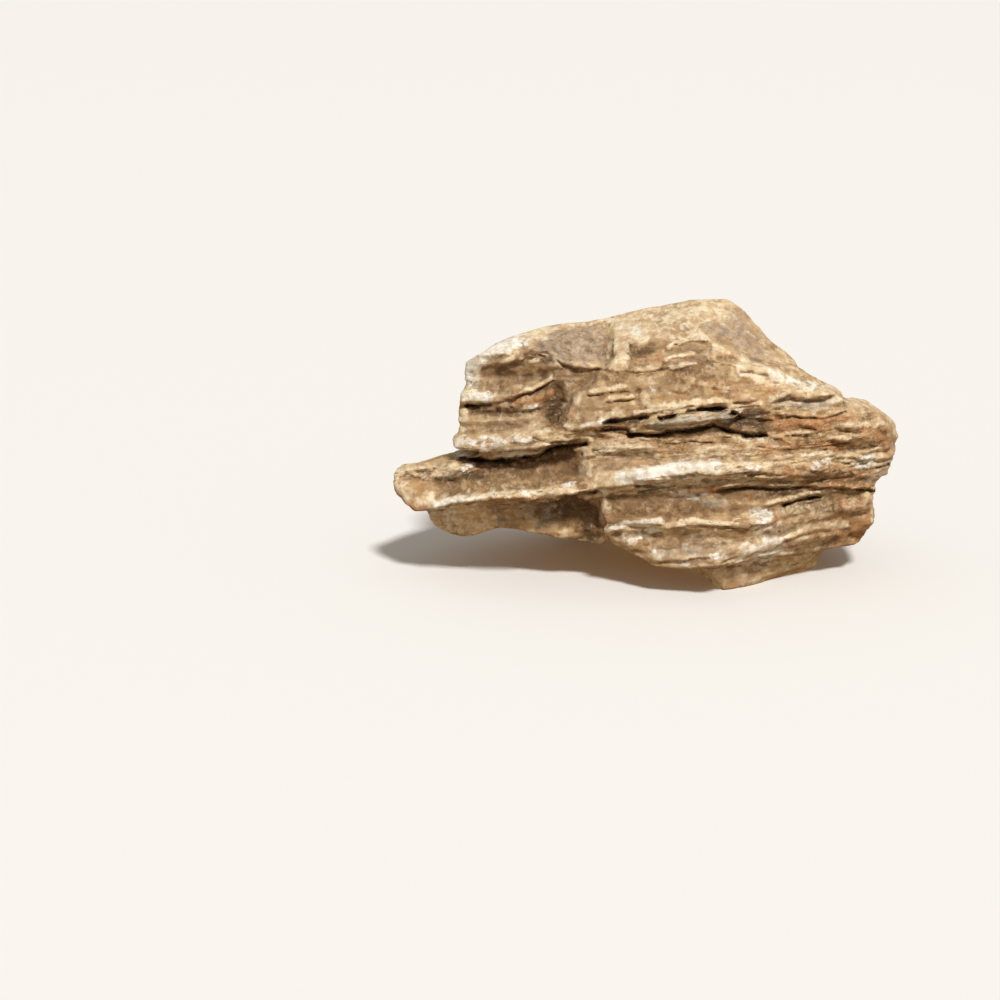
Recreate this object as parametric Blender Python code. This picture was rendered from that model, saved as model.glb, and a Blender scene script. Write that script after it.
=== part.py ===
"""A loose piece of pagoda rock: one solid of thin-bedded stone, broken into blocks and worn into ledges.

The stone is one piece. It is built up as it was broken: each block of beds is the hull of its own
corners, the blocks are fused into one solid, and the beds are then worn back by different amounts.
Corners are in millimetres, x to the right, y to the back and z up, with the stone as it rests.
"""

import math
import random

import bmesh
import bpy
import numpy as np
from mathutils import Vector, noise

MM = 0.001
GRID = 1.6  # size of the grid that fuses the blocks, mm
TRIANGLES = 9400  # what the finished solid may have
FLOOR_CUT = 0.0  # height of the floor that the stone rests on, mm

# How the beds lie: they rise to the right on the left half, and level out on the right.
RISE_RIGHT = 0.10
RISE_CURVE = -0.0004
RISE_BACK = -0.03
BED_THINNEST = 3.0
BED_THICKEST = 9.0
MASSIVE_ABOVE = 100.0  # how far up the pile the beds turn thick, mm
MASSIVE_TIMES = 2.6  # and how many times thicker they are
BED_WEAR = 2.2  # how far one bed stands back behind the next, mm
CRACK_WIDTH = 0.8
CRACK_DEPTH = 1.8

# The blocks, each by its corners. The front ones are what shows; the back ones finish the stone behind.
BLOCKS = {
    # What the stone rests on: a wedge in front and three lumps behind it, fused in one foot and cut flat.
    "toe": [
        (42, -55, -3), (92, -14, -3), (92, 35, -3), (20, 15, -3),
        (102, -28, 18), (32, -62, 17), (108, 30, 26), (0, 10, 26), (33, -60, 26), (104, -26, 24),
    ],
    "left_heel": [
        (-30, 52, -3), (-34, 66, -3), (-4, 74, -3), (2, 34, -3),
        (-62, 40, 34), (-64, 70, 34), (24, 80, 30), (14, 18, 30),
    ],
    "middle_heel": [
        (-6, 34, -3), (-2, 62, -3), (28, 58, -3), (80, 58, -3), (88, 22, -3), (24, 8, -3),
        (-12, 66, 30), (24, 74, 32), (80, 72, 30), (88, 10, 30), (4, 8, 30),
    ],
    "right_heel": [
        (60, 40, -3), (94, 32, -3), (90, 58, -3), (52, 68, -3),
        (122, 18, 32), (114, 64, 34), (40, 82, 30), (40, 20, 30),
    ],
    # The lower half: a body with three worn beds standing out of its front.
    "lower_body": [
        (5, -58, 14), (33, -60, 17), (103, -26, 18), (119, -20, 16.5), (-3, -54, 20), (-26, -46, 28),
        (-25, -52, 60), (30, -66, 66), (63, -62, 66), (124, -30, 53), (125, -28, 27.5),
        (131, 12, 46), (122, 20, 26), (-44, 66, 32), (-56, 70, 62), (60, 80, 26), (108, 58, 28),
        (112, 54, 56), (40, 78, 62), (-8, 0, 14), (0, 60, 12), (88, 50, 14),
    ],
    "lower_top_bed": [
        (-27, -58, 45), (-27, -59, 57), (2, -70, 62), (30, -75, 65), (63, -71, 64), (90, -58, 60),
        (126.5, -34, 51), (126, -32, 38), (90, -54, 42), (60, -68, 46), (2, -69, 44),
        (-20, 0, 50), (110, 10, 50),
    ],
    "lower_middle_bed": [
        (-24, -57, 28), (-26, -58, 44), (8, -73, 41), (42, -77, 46), (80, -62, 47), (118, -34, 47),
        (6, -68, 26), (42, -73, 30), (90, -48, 30), (118, -28, 26), (0, 0, 40), (100, 10, 40),
    ],
    "lower_bottom_bed": [
        (4, -69, 15), (33, -73, 17.6), (2, -71, 25), (41, -77, 29), (80, -58, 31), (106, -40, 28),
        (103, -30, 16.5), (118.5, -24, 16), (-6, -64, 20), (-25, -50, 27), (0, 0, 24), (90, 10, 24),
    ],
    # The plate that reaches out to the left, with its raised rim and the wall under it.
    "plate_wall_left": [
        (-124, -34, 46), (-70, -47, 54), (-119, -31, 28), (-107, -33, 22), (-96, -35, 23.5),
        (-78, -38, 32), (-112, 8, 32), (-98, 34, 34), (-92, 44, 52), (-60, 60, 40), (-60, 60, 56),
    ],
    "plate_wall_right": [
        (-96, -42, 49), (-27, -52, 58), (-94, -35, 32), (-80, -38, 30), (-54, -41, 26.5), (-24, -45, 22),
        (-90, 40, 34), (-60, 60, 32), (-20, 70, 26), (-90, 42, 50), (-20, 70, 60),
    ],
    "plate": [
        (-140.6, -22, 57), (-137, -28, 46), (-129, -40, 39.5), (-114, -47, 45), (-70, -57, 52.5),
        (-31, -62, 56.5), (-31, -60, 63), (-70, -54, 59.5), (-106, -34, 62.5), (-138, -20, 59.5),
        (-31, -42, 66), (-136, -8, 52), (-134, -8, 47), (-118, 16, 44), (-114, 20, 52), (-96, 44, 42),
        (-92, 48, 58), (-20, 72, 56), (-20, 72, 64),
    ],
    "plate_face": [
        (-110, -27, 63.5), (-104, -32, 58), (-70, -44, 60), (-31, -49, 64), (-31, -42, 82), (-70, -37, 76),
        (-104, -24, 66), (-100, 20, 58), (-92, 46, 56), (-92, 46, 66), (-20, 72, 60), (-20, 72, 82),
    ],
    "plate_skin": [
        (-139, -17, 59.5), (-134, -27, 59.5), (-112, -36, 62), (-96, -36, 65.5), (-88, -34, 66),
        (-136, -17, 62), (-110, -31, 65), (-90, -30, 68.5), (-104, 0, 58), (-128, -6, 55.5),
    ],
    # The middle of the front: a thin worn band, the pale ledge over it, and the thick bed over that.
    "thin_band": [
        (-10, -60, 58), (30, -70, 63), (62, -67, 62), (90, -56, 58), (126, -32, 49), (-10, -62, 68),
        (30, -72, 72), (62, -68, 70), (92, -58, 68), (128, -30, 60), (124, 26, 50), (0, 50, 60),
    ],
    "pale_ledge": [
        (-34, -62, 58), (-3, -74, 66), (24, -82, 70.5), (55, -78, 70), (82, -69, 66), (134, -27, 56),
        (-32, -60, 66), (-3, -73, 72.5), (24, -80, 78), (55, -75, 77), (82, -67, 75), (138, -27, 71),
        (128, 34, 58), (60, 78, 62), (-20, 70, 62),
    ],
    "middle_bed": [
        (-29, -58, 64), (-30, -59, 84), (2, -66, 70), (24, -72, 74), (80, -62, 72), (135, -30, 70),
        (2, -65, 93), (49, -68, 97), (72, -63, 96), (110, -52, 93), (139, -14, 84),
        (132, 30, 62), (122, 36, 78), (50, 76, 70), (44, 72, 98), (-30, 74, 66), (-30, 70, 94),
    ],
    # The flake that stands out of the main crack.
    "flake": [
        (-10, -67, 93.5), (12, -77, 97), (42, -78, 100.5), (-8, -66, 96), (8, -76, 102),
        (45, -76, 105.5), (54, -50, 102), (-8, -44, 95),
    ],
    # The upper left block: a lip at its foot, two beds of wall, and the sloping facet on top.
    "left_lip": [
        (-109.5, -27, 77.5), (-106, -29, 71), (-88, -42, 73.5), (-70, -49, 76.5), (-33, -54, 84.5),
        (-34, -53, 92), (-70, -48, 85), (-96, -35, 81), (-100, 36, 72), (-30, 60, 86), (-30, 60, 94),
    ],
    "left_wall_low": [
        (-103, -20, 80), (-104, -20, 102), (-84, -32, 103.5), (-60, -40, 84), (-53, -42, 114), (-36, -45, 116),
        (-30, -46, 90), (-94, 40, 76), (-90, 44, 100), (-20, 64, 84), (-20, 64, 112),
    ],
    "left_wall_high": [
        (-101, -14, 103), (-86, -23, 104), (-53, -33, 114), (-20, -40, 116), (-102, -14, 118),
        (-92, -20, 123.5), (-81, -28, 123.5), (-62, -36, 123.5), (-40, -40, 122), (-20, -44, 122),
        (-90, 42, 100), (-82, 46, 111), (-20, 60, 106), (-20, 58, 122),
    ],
    "left_top": [
        (-89, -20, 125.5), (-81, -28, 125.5), (-62, -36, 125), (-16, -39, 121.5), (-81, 4, 126.5),
        (-56, 10, 133.5), (-16, 14, 138), (-16, 48, 125), (-72, 36, 117),
        (-90, -16, 120), (-62, -34, 122), (-20, 48, 110),
    ],
    # The upper middle and the top.
    "shoulder": [
        (-50, -50, 90), (-42, -57, 106), (-26, -58, 119), (-19, -50, 127), (-31, -60, 88),
        (-3, -65, 96), (49, -69, 108), (2, -61, 124), (40, -61, 126), (60, -56, 124), (81, -34, 119),
        (74, -60, 112), (74, -61, 98), (60, 60, 98), (48, 58, 116), (-30, 68, 94), (-28, 60, 118),
    ],
    "top": [
        (-19.5, -50, 127.5), (30, -54, 130), (49, -48, 129.5), (81, -22, 119), (-19.5, 14, 138.6),
        (24, 14, 147.5), (46, 14, 148.5), (54, 6, 138), (66, 6, 127), (24, -12, 144), (37, -30, 135.5),
        (-16, 50, 125), (32, 52, 131), (60, 38, 112), (-16, -40, 115), (60, -30, 112), (60, 40, 100),
    ],
    # The right end, in terraces.
    "right_terrace_high": [
        (60, -56, 112), (71, -61, 113), (104, -50, 105), (80, -28, 118.5), (106, -20, 103),
        (102, -48, 97), (73, -61, 96), (90, 36, 88), (70, 44, 100), (60, 40, 90),
    ],
    "right_terrace_low": [
        (90, -54, 100), (107, -54, 98), (111, -24, 100.5), (123, -38, 95), (119, -16, 97.5), (135, -14, 87),
        (141.6, -14, 77), (138, -20, 62), (108, -57, 87), (132, -36, 80), (118, 28, 82),
        (132, 22, 68), (130, 26, 56), (60, -40, 88),
    ],
    # The inside, which closes the gaps between the blocks.
    "heart": [
        (-92, -18, 64), (-84, -12, 118), (-20, -38, 120), (60, -44, 118), (98, -26, 102),
        (118, -12, 82), (116, -14, 32), (92, -22, 20), (0, -44, 22), (-20, -38, 32), (-98, -18, 44),
        (-88, 40, 44), (-78, 42, 116), (0, 56, 122), (56, 54, 118), (108, 32, 88), (108, 38, 32),
        (0, 62, 18),
    ],
}


def bed_height(point):
    """How far up the pile of beds a point lies, in millimetres."""
    x, y, z = point
    wave = 1.6 * noise.noise(Vector((x / 60, y / 60, z / 90)))
    return z - RISE_RIGHT * x - RISE_CURVE * x * x - RISE_BACK * y + wave


def bed_normal(point):
    """The direction straight across the beds."""
    return Vector((-RISE_RIGHT - 2 * RISE_CURVE * point[0], -RISE_BACK, 1)).normalized()


def bed_edges(lowest, highest, seed):
    """The heights at which one bed ends and the next begins."""
    pick = random.Random(seed)
    edges = [lowest]
    while edges[-1] < highest:
        times = MASSIVE_TIMES if edges[-1] > MASSIVE_ABOVE else 1.0
        edges.append(edges[-1] + times * pick.uniform(BED_THINNEST, BED_THICKEST))
    return np.array(edges)


BED_EDGES = bed_edges(-40, 190, seed=7)


def bed_wear(point):
    """How far the stone stands out (+) or is worn back (-) at a point on the broken edge of the beds."""
    height = bed_height(point)
    bed = int(np.searchsorted(BED_EDGES, height))
    to_edge = min(height - BED_EDGES[bed - 1], BED_EDGES[bed] - height)
    along = Vector((point[0] / 42, point[1] / 42, bed * 5.3))
    stand = BED_WEAR * noise.noise(along)
    fissile = max(0.0, noise.noise(Vector((point[0] / 55, point[1] / 55, height / 26 + 9))) + 0.35)
    crack = CRACK_DEPTH * min(1.0, fissile * 1.6) * math.exp(-((to_edge / CRACK_WIDTH) ** 2))
    return stand - crack


def lumps(point):
    """The broad unevenness of the broken faces."""
    broad = 1.5 * noise.noise(Vector(point) / 34)
    small = 0.8 * noise.noise(Vector(point) / 13 + Vector((5, 5, 5)))
    return broad + small


def hull(corners):
    """The convex hull of the corners, as faces in a bmesh."""
    mesh = bmesh.new()
    for corner in corners:
        mesh.verts.new(corner)
    made = bmesh.ops.convex_hull(mesh, input=mesh.verts)
    loose = [v for v in made["geom_interior"] if isinstance(v, bmesh.types.BMVert)]
    bmesh.ops.delete(mesh, geom=loose, context="VERTS")
    bmesh.ops.recalc_face_normals(mesh, faces=mesh.faces)
    return mesh


def fused_blocks(name):
    """All the blocks as one object, still in millimetres and on a fine grid."""
    data = bpy.data.meshes.new(name)
    together = bmesh.new()
    for corners in BLOCKS.values():
        one = hull(corners)
        one.to_mesh(data)
        one.free()
        together.from_mesh(data)
    together.to_mesh(data)
    together.free()
    stone = bpy.data.objects.new(name, data)
    bpy.context.scene.collection.objects.link(stone)
    grid = stone.modifiers.new("fuse", "REMESH")
    grid.mode = "VOXEL"
    grid.voxel_size = GRID
    apply_modifiers(stone)
    return stone


def apply_modifiers(obj):
    """Makes what the modifiers give the object's own mesh."""
    graph = bpy.context.evaluated_depsgraph_get()
    data = bpy.data.meshes.new_from_object(obj.evaluated_get(graph))
    obj.modifiers.clear()
    obj.data = data


def wear(stone):
    """Moves each point of the surface in or out, more on the broken edges of the beds than on their faces."""
    data = stone.data
    moved = []
    for vertex in data.vertices:
        across = abs(vertex.normal.dot(bed_normal(vertex.co)))
        edge_on = math.sqrt(max(0.0, 1 - across * across))
        out = bed_wear(vertex.co) * edge_on + lumps(vertex.co)
        flat = Vector((vertex.normal.x, vertex.normal.y, vertex.normal.z * 0.6))
        moved.append(vertex.co + flat * out)
    for vertex, place in zip(data.vertices, moved):
        vertex.co = place
    data.update()


def thin_out(stone, triangles):
    """Fewer triangles, kept where the shape turns most."""
    stone.data.calc_loop_triangles()
    fewer = stone.modifiers.new("thin_out", "DECIMATE")
    fewer.ratio = triangles / len(stone.data.loop_triangles)
    apply_modifiers(stone)


def cut_flat(stone, height):
    """Cuts the stone off at the floor, and closes the cut."""
    mesh = bmesh.new()
    mesh.from_mesh(stone.data)
    everything = mesh.verts[:] + mesh.edges[:] + mesh.faces[:]
    bmesh.ops.bisect_plane(
        mesh, geom=everything, dist=1e-4, plane_co=(0, 0, height), plane_no=(0, 0, 1), clear_inner=True
    )
    rim = [e for e in mesh.edges if e.is_boundary]
    bmesh.ops.holes_fill(mesh, edges=rim)
    bmesh.ops.triangulate(mesh, faces=mesh.faces)
    bmesh.ops.recalc_face_normals(mesh, faces=mesh.faces)
    mesh.to_mesh(stone.data)
    mesh.free()


def stand_on_origin(stone):
    """Puts the middle of the stone's footprint at the origin, and turns millimetres into metres."""
    places = np.array([v.co for v in stone.data.vertices])
    middle = (places.min(0) + places.max(0)) / 2
    for vertex in stone.data.vertices:
        vertex.co = (vertex.co - Vector((middle[0], middle[1], FLOOR_CUT))) * MM


def stone_material():
    """Buff stone, dull and dry."""
    material = bpy.data.materials.new("buff_stone")
    material.use_nodes = True
    shader = material.node_tree.nodes["Principled BSDF"]
    shader.inputs["Base Color"].default_value = (0.50, 0.36, 0.22, 1)
    shader.inputs["Roughness"].default_value = 0.9
    shader.inputs["Metallic"].default_value = 0.0
    return material


def main():
    for obj in list(bpy.data.objects):
        bpy.data.objects.remove(obj)
    stone = fused_blocks("stone")
    wear(stone)
    thin_out(stone, TRIANGLES)
    cut_flat(stone, FLOOR_CUT)
    stand_on_origin(stone)
    stone.data.materials.append(stone_material())


main()
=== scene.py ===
"""A loose piece of pagoda rock on a pale floor: thin-bedded buff stone, broken, worn and crusted.

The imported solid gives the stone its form. The script weathers a copy of it, bed by bed, and colours it.
"""

import itertools
import math
import random

import bpy
import numpy as np
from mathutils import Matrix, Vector


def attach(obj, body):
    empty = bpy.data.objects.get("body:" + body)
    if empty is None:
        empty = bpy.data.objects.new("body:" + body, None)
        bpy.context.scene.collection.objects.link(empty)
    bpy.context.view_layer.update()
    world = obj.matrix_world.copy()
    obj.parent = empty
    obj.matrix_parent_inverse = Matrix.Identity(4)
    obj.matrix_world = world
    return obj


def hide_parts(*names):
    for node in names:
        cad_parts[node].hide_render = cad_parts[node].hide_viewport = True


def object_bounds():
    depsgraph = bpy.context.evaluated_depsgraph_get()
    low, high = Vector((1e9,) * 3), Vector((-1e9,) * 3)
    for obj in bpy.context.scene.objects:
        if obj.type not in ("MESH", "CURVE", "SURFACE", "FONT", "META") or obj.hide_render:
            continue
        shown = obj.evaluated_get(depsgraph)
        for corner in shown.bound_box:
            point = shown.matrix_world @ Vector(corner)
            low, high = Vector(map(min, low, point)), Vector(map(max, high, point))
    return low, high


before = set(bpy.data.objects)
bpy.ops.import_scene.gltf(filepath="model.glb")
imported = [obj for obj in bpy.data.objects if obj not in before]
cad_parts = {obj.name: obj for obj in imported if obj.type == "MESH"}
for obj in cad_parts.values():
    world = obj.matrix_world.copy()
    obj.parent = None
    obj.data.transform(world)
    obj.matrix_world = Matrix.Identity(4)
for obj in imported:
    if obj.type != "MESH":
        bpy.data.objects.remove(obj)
cad_low, cad_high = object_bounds()

# The camera. It looks a little down on the stone's ledged face, from the front, as the photograph does.
# The stone stands off the middle of the picture, so the camera aims to the left of the stone's own middle.
CAMERA_AIM = Vector((-0.0805, -0.055, 0.051))
CAMERA_HEIGHT = math.radians(15)
CAMERA_AWAY = 1.27
LENS_MM = 85
SENSOR_MM = 36
PICTURE = 1000  # width and height of the photograph, pixels

camera_data = bpy.data.cameras.new("camera")
camera_data.lens = LENS_MM
camera_data.sensor_width = SENSOR_MM
camera = bpy.data.objects.new("camera", camera_data)
bpy.context.scene.collection.objects.link(camera)
bpy.context.scene.camera = camera
to_camera = Vector((0, -math.cos(CAMERA_HEIGHT), math.sin(CAMERA_HEIGHT)))
camera.location = CAMERA_AIM + CAMERA_AWAY * to_camera
camera.rotation_euler = (math.pi / 2 - CAMERA_HEIGHT, 0, 0)


# The light. A soft lamp stands high in front, a little to the right. The air is pale above and warm below,
# so the undersides of the ledges glow a little.
LAMP_TURN = math.radians(16)
LAMP_HEIGHT = math.radians(48)
LAMP_WIDTH = math.radians(8)
LAMP_POWER = 3.1
LAMP_COLOUR = (1.0, 0.98, 0.95)
AIR_ABOVE = (0.36, 0.34, 0.31, 1)
AIR_BELOW = (0.40, 0.275, 0.155, 1)
AIR_TURN_LOW = -0.4  # height of the direction in which the lower air ends, -1 to 1
AIR_TURN_HIGH = 0.3  # and of the direction in which the upper air begins
SHARE = 0  # the sockets of a node that mixes colours
UNDER = 6
OVER = 7
MIXED = 2

lamp_data = bpy.data.lights.new("lamp", "SUN")
lamp_data.energy = LAMP_POWER
lamp_data.angle = LAMP_WIDTH
lamp_data.color = LAMP_COLOUR
lamp = bpy.data.objects.new("lamp", lamp_data)
lamp.rotation_euler = (math.pi / 2 - LAMP_HEIGHT, 0, LAMP_TURN)
bpy.context.scene.collection.objects.link(lamp)
air = bpy.data.worlds.new("air")
air.use_nodes = True
sky = air.node_tree.nodes
direction = sky.new("ShaderNodeTexCoord")
upward = sky.new("ShaderNodeSeparateXYZ")
turning = sky.new("ShaderNodeMapRange")
turning.inputs["From Min"].default_value = AIR_TURN_LOW
turning.inputs["From Max"].default_value = AIR_TURN_HIGH
air_colour = sky.new("ShaderNodeMix")
air_colour.data_type = "RGBA"
air_colour.inputs[UNDER].default_value = AIR_BELOW
air_colour.inputs[OVER].default_value = AIR_ABOVE
air.node_tree.links.new(direction.outputs["Generated"], upward.inputs["Vector"])
air.node_tree.links.new(upward.outputs["Z"], turning.inputs["Value"])
air.node_tree.links.new(turning.outputs["Result"], air_colour.inputs[SHARE])
air.node_tree.links.new(air_colour.outputs[MIXED], sky["Background"].inputs["Color"])
bpy.context.scene.world = air
bpy.context.scene.view_settings.view_transform = "Standard"


# The floor. A sheet of matt white board, wide enough to fill the picture. It throws no light up at the stone.
FLOOR_HALF = 14.0
BOARD_WHITE = (0.88, 0.875, 0.86, 1)
BOARD_ROUGHNESS = 0.9

bpy.ops.object.select_all(action="DESELECT")
bpy.ops.mesh.primitive_plane_add(size=2 * FLOOR_HALF, location=(0, 0, 0))
floor = bpy.context.active_object
floor.name = "floor"
floor.visible_diffuse = False
board = bpy.data.materials.new("white_board")
board.use_nodes = True
board_face = board.node_tree.nodes["Principled BSDF"]
board_face.inputs["Base Color"].default_value = BOARD_WHITE
board_face.inputs["Roughness"].default_value = BOARD_ROUGHNESS
floor.data.materials.append(board)


# The stone. One piece of fine sandy limestone, laid down in beds a few millimetres thick. It broke along
# its beds and across them, and rain then wore the soft beds back, so the hard ones stand out as ledges.
MM = 0.001
ROUGH_GRID = 1.0  # size of the first grid, for the ledges and broken blocks, mm
FINE_GRID = 0.75  # size of the second grid, for the thin beds, chips and pits, mm
TRIANGLES = 192000  # most that the finished stone has

# How the beds lie: they rise to the right on the left half, and level out on the right.
RISE_RIGHT = 0.10
RISE_CURVE = -0.0004
RISE_BACK = -0.03
BED_WAVES = ((1.3, 70, 3), (0.5, 22, 4))  # each wave's height and length, mm, and its seed

# How thick the beds are, by height up the pile of beds, mm.
LOWEST_BED = -60.0
HIGHEST_BED = 220
THICK_ABOVE = 98  # from here up the beds are thicker
THICKER = 2.2
MASSIVE_ABOVE = 112  # from here up they hardly break into sheets

BREAK_SHARPNESS = 2.4  # how suddenly a bed's broken edge steps back
BED_APART = 7.3  # how far the breaks of two beds are apart in the noise, so that each breaks its own way
BLOCK_LEAN = 0.8  # how much the faces of broken blocks lean
NOISE_SWING = 1.7  # brings the noise to about -1 to 1

# What the scrambling of numbers goes by. All its multipliers are odd.
AXIS_MIXERS = (2376512323, 3625334849, 3407524639)
SEED_MIXER = 2654435761
SCRAMBLES = ((15, 739982445), (12, 695872825))
LAST_SHIFT = 15
TILT_SEED = 77
TEN_BITS = 1023  # the largest number in ten bits


def finish_with(obj, kind, **settings):
    """Adds a modifier of that kind to the object and applies it."""
    bpy.context.view_layer.objects.active = obj
    made = obj.modifiers.new(kind.lower(), kind)
    for name, value in settings.items():
        setattr(made, name, value)
    bpy.ops.object.modifier_apply(modifier=made.name)


def points_of(obj):
    """The places of the object's points, in millimetres."""
    flat = np.empty(len(obj.data.vertices) * 3, np.float32)
    obj.data.vertices.foreach_get("co", flat)
    return flat.reshape(-1, 3) / MM


def normals_of(obj):
    """The directions in which the object's points face."""
    flat = np.empty(len(obj.data.vertices) * 3, np.float32)
    obj.data.vertex_normals.foreach_get("vector", flat)
    return flat.reshape(-1, 3)


def put_points(obj, places):
    """Moves the object's points to these places, in millimetres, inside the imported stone's box."""
    low = np.array(cad_low) / MM
    high = np.array(cad_high) / MM
    inside = np.clip(places, low, high)
    obj.data.vertices.foreach_set("co", (inside * MM).astype(np.float32).ravel())
    obj.data.update()


def scramble(cells, seed):
    """Whole numbers that look random, one for each cell of a grid and the same each time."""
    cell = cells.astype(np.int64).astype(np.uint32)
    mixed = np.full(len(cell), seed * SEED_MIXER % 2**32, np.uint32)
    for axis, mixer in enumerate(AXIS_MIXERS):
        mixed ^= cell[:, axis] * np.uint32(mixer)
    for shift, mixer in SCRAMBLES:
        mixed ^= mixed >> np.uint32(shift)
        mixed *= np.uint32(mixer)
    return mixed ^ (mixed >> np.uint32(LAST_SHIFT))


def three_from(numbers):
    """Three numbers from 0 to 1 out of each scrambled number, ten bits for each."""
    parts = [(numbers >> np.uint32(start)) & np.uint32(TEN_BITS) for start in (0, 10, 20)]
    return np.stack(parts, 1) / np.float32(TEN_BITS)


def noise(points, size, seed):
    """Smooth noise from about -1 to 1, in lumps of that size, mm. The size may differ from axis to axis."""
    place = points / np.asarray(size, np.float32)
    cell = np.floor(place)
    inside = place - cell
    ease = inside**3 * (inside * (inside * 6 - 15) + 10)
    total = np.zeros(len(points), np.float32)
    for corner in itertools.product((0, 1), repeat=3):
        slope = 2 * three_from(scramble(cell + corner, seed)) - 1
        share = np.prod(np.where(corner, ease, 1 - ease), 1)
        total += share * ((inside - corner) * slope).sum(1)
    return NOISE_SWING * total


def cloud(points, size, seed, octaves=2, keep=0.5):
    """Noise with finer and finer detail on it."""
    total = np.zeros(len(points), np.float32)
    for octave in range(octaves):
        total += keep**octave * noise(points, np.asarray(size, np.float32) / 2**octave, seed + octave)
    return total


def broken_blocks(points, size, seed):
    """Blocks as rock breaks into, of that size, mm.

    Each stands out by its own amount, -1 to 1, and its face leans its own way.
    """
    place = points / np.asarray(size, np.float32)
    cell = np.floor(place)
    nearest = np.full(len(points), np.inf, np.float32)
    level = np.zeros(len(points), np.float32)
    for step in itertools.product((-1, 0, 1), repeat=3):
        number = scramble(cell + step, seed)
        away = place - (cell + step + three_from(number))
        gap = (away**2).sum(1)
        tilt = 2 * three_from(scramble(cell + step, seed + TILT_SEED)) - 1
        own = 2 * three_from(number * np.uint32(SEED_MIXER))[:, 0] - 1 + BLOCK_LEAN * (away * tilt).sum(1)
        level = np.where(gap < nearest, own, level)
        nearest = np.minimum(nearest, gap)
    return level


def ramp_up(value, start, end):
    """0 below start, 1 above end, and smooth between."""
    part = np.clip((value - start) / (end - start), 0, 1)
    return part * part * (3 - 2 * part)


def bed_places(points):
    """The points with height up the pile of beds in place of z, waved a little as the beds are."""
    x, y, z = points.T
    wave = sum(rise * noise(points, size, seed) for rise, size, seed in BED_WAVES)
    height = z - RISE_RIGHT * x - RISE_CURVE * x * x - RISE_BACK * y + wave
    return np.stack([x, y, height], 1)


def bed_normals(points):
    """The direction straight across the beds."""
    rightward = -RISE_RIGHT - 2 * RISE_CURVE * points[:, 0]
    backward = np.full(len(points), -RISE_BACK)
    across = np.stack([rightward, backward, np.ones(len(points))], 1)
    return across / np.linalg.norm(across, axis=1, keepdims=True)


def bed_edges(thinnest, thickest, seed):
    """The heights at which one bed ends and the next begins, thicker beds in the upper part of the stone."""
    pick = random.Random(seed)
    edges = [LOWEST_BED]
    while edges[-1] < HIGHEST_BED:
        growth = THICKER if edges[-1] > THICK_ABOVE else 1.0
        edges.append(edges[-1] + growth * pick.uniform(thinnest, thickest))
    return np.array(edges, np.float32)


def bed_steps(beds, edges, run, seed):
    """How far each bed's broken edge stands out, -1 to 1, and how near its points are to the next bed, mm.

    Along a bed, its edge goes out and in again over about as many millimetres as run says.
    """
    number = np.clip(np.searchsorted(edges, beds[:, 2]), 1, len(edges) - 1)
    to_edge = np.minimum(beds[:, 2] - edges[number - 1], edges[number] - beds[:, 2])
    along = np.stack([beds[:, 0], beds[:, 1], number * BED_APART * run], 1)
    return np.tanh(BREAK_SHARPNESS * noise(along, run, seed)), to_edge


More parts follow.
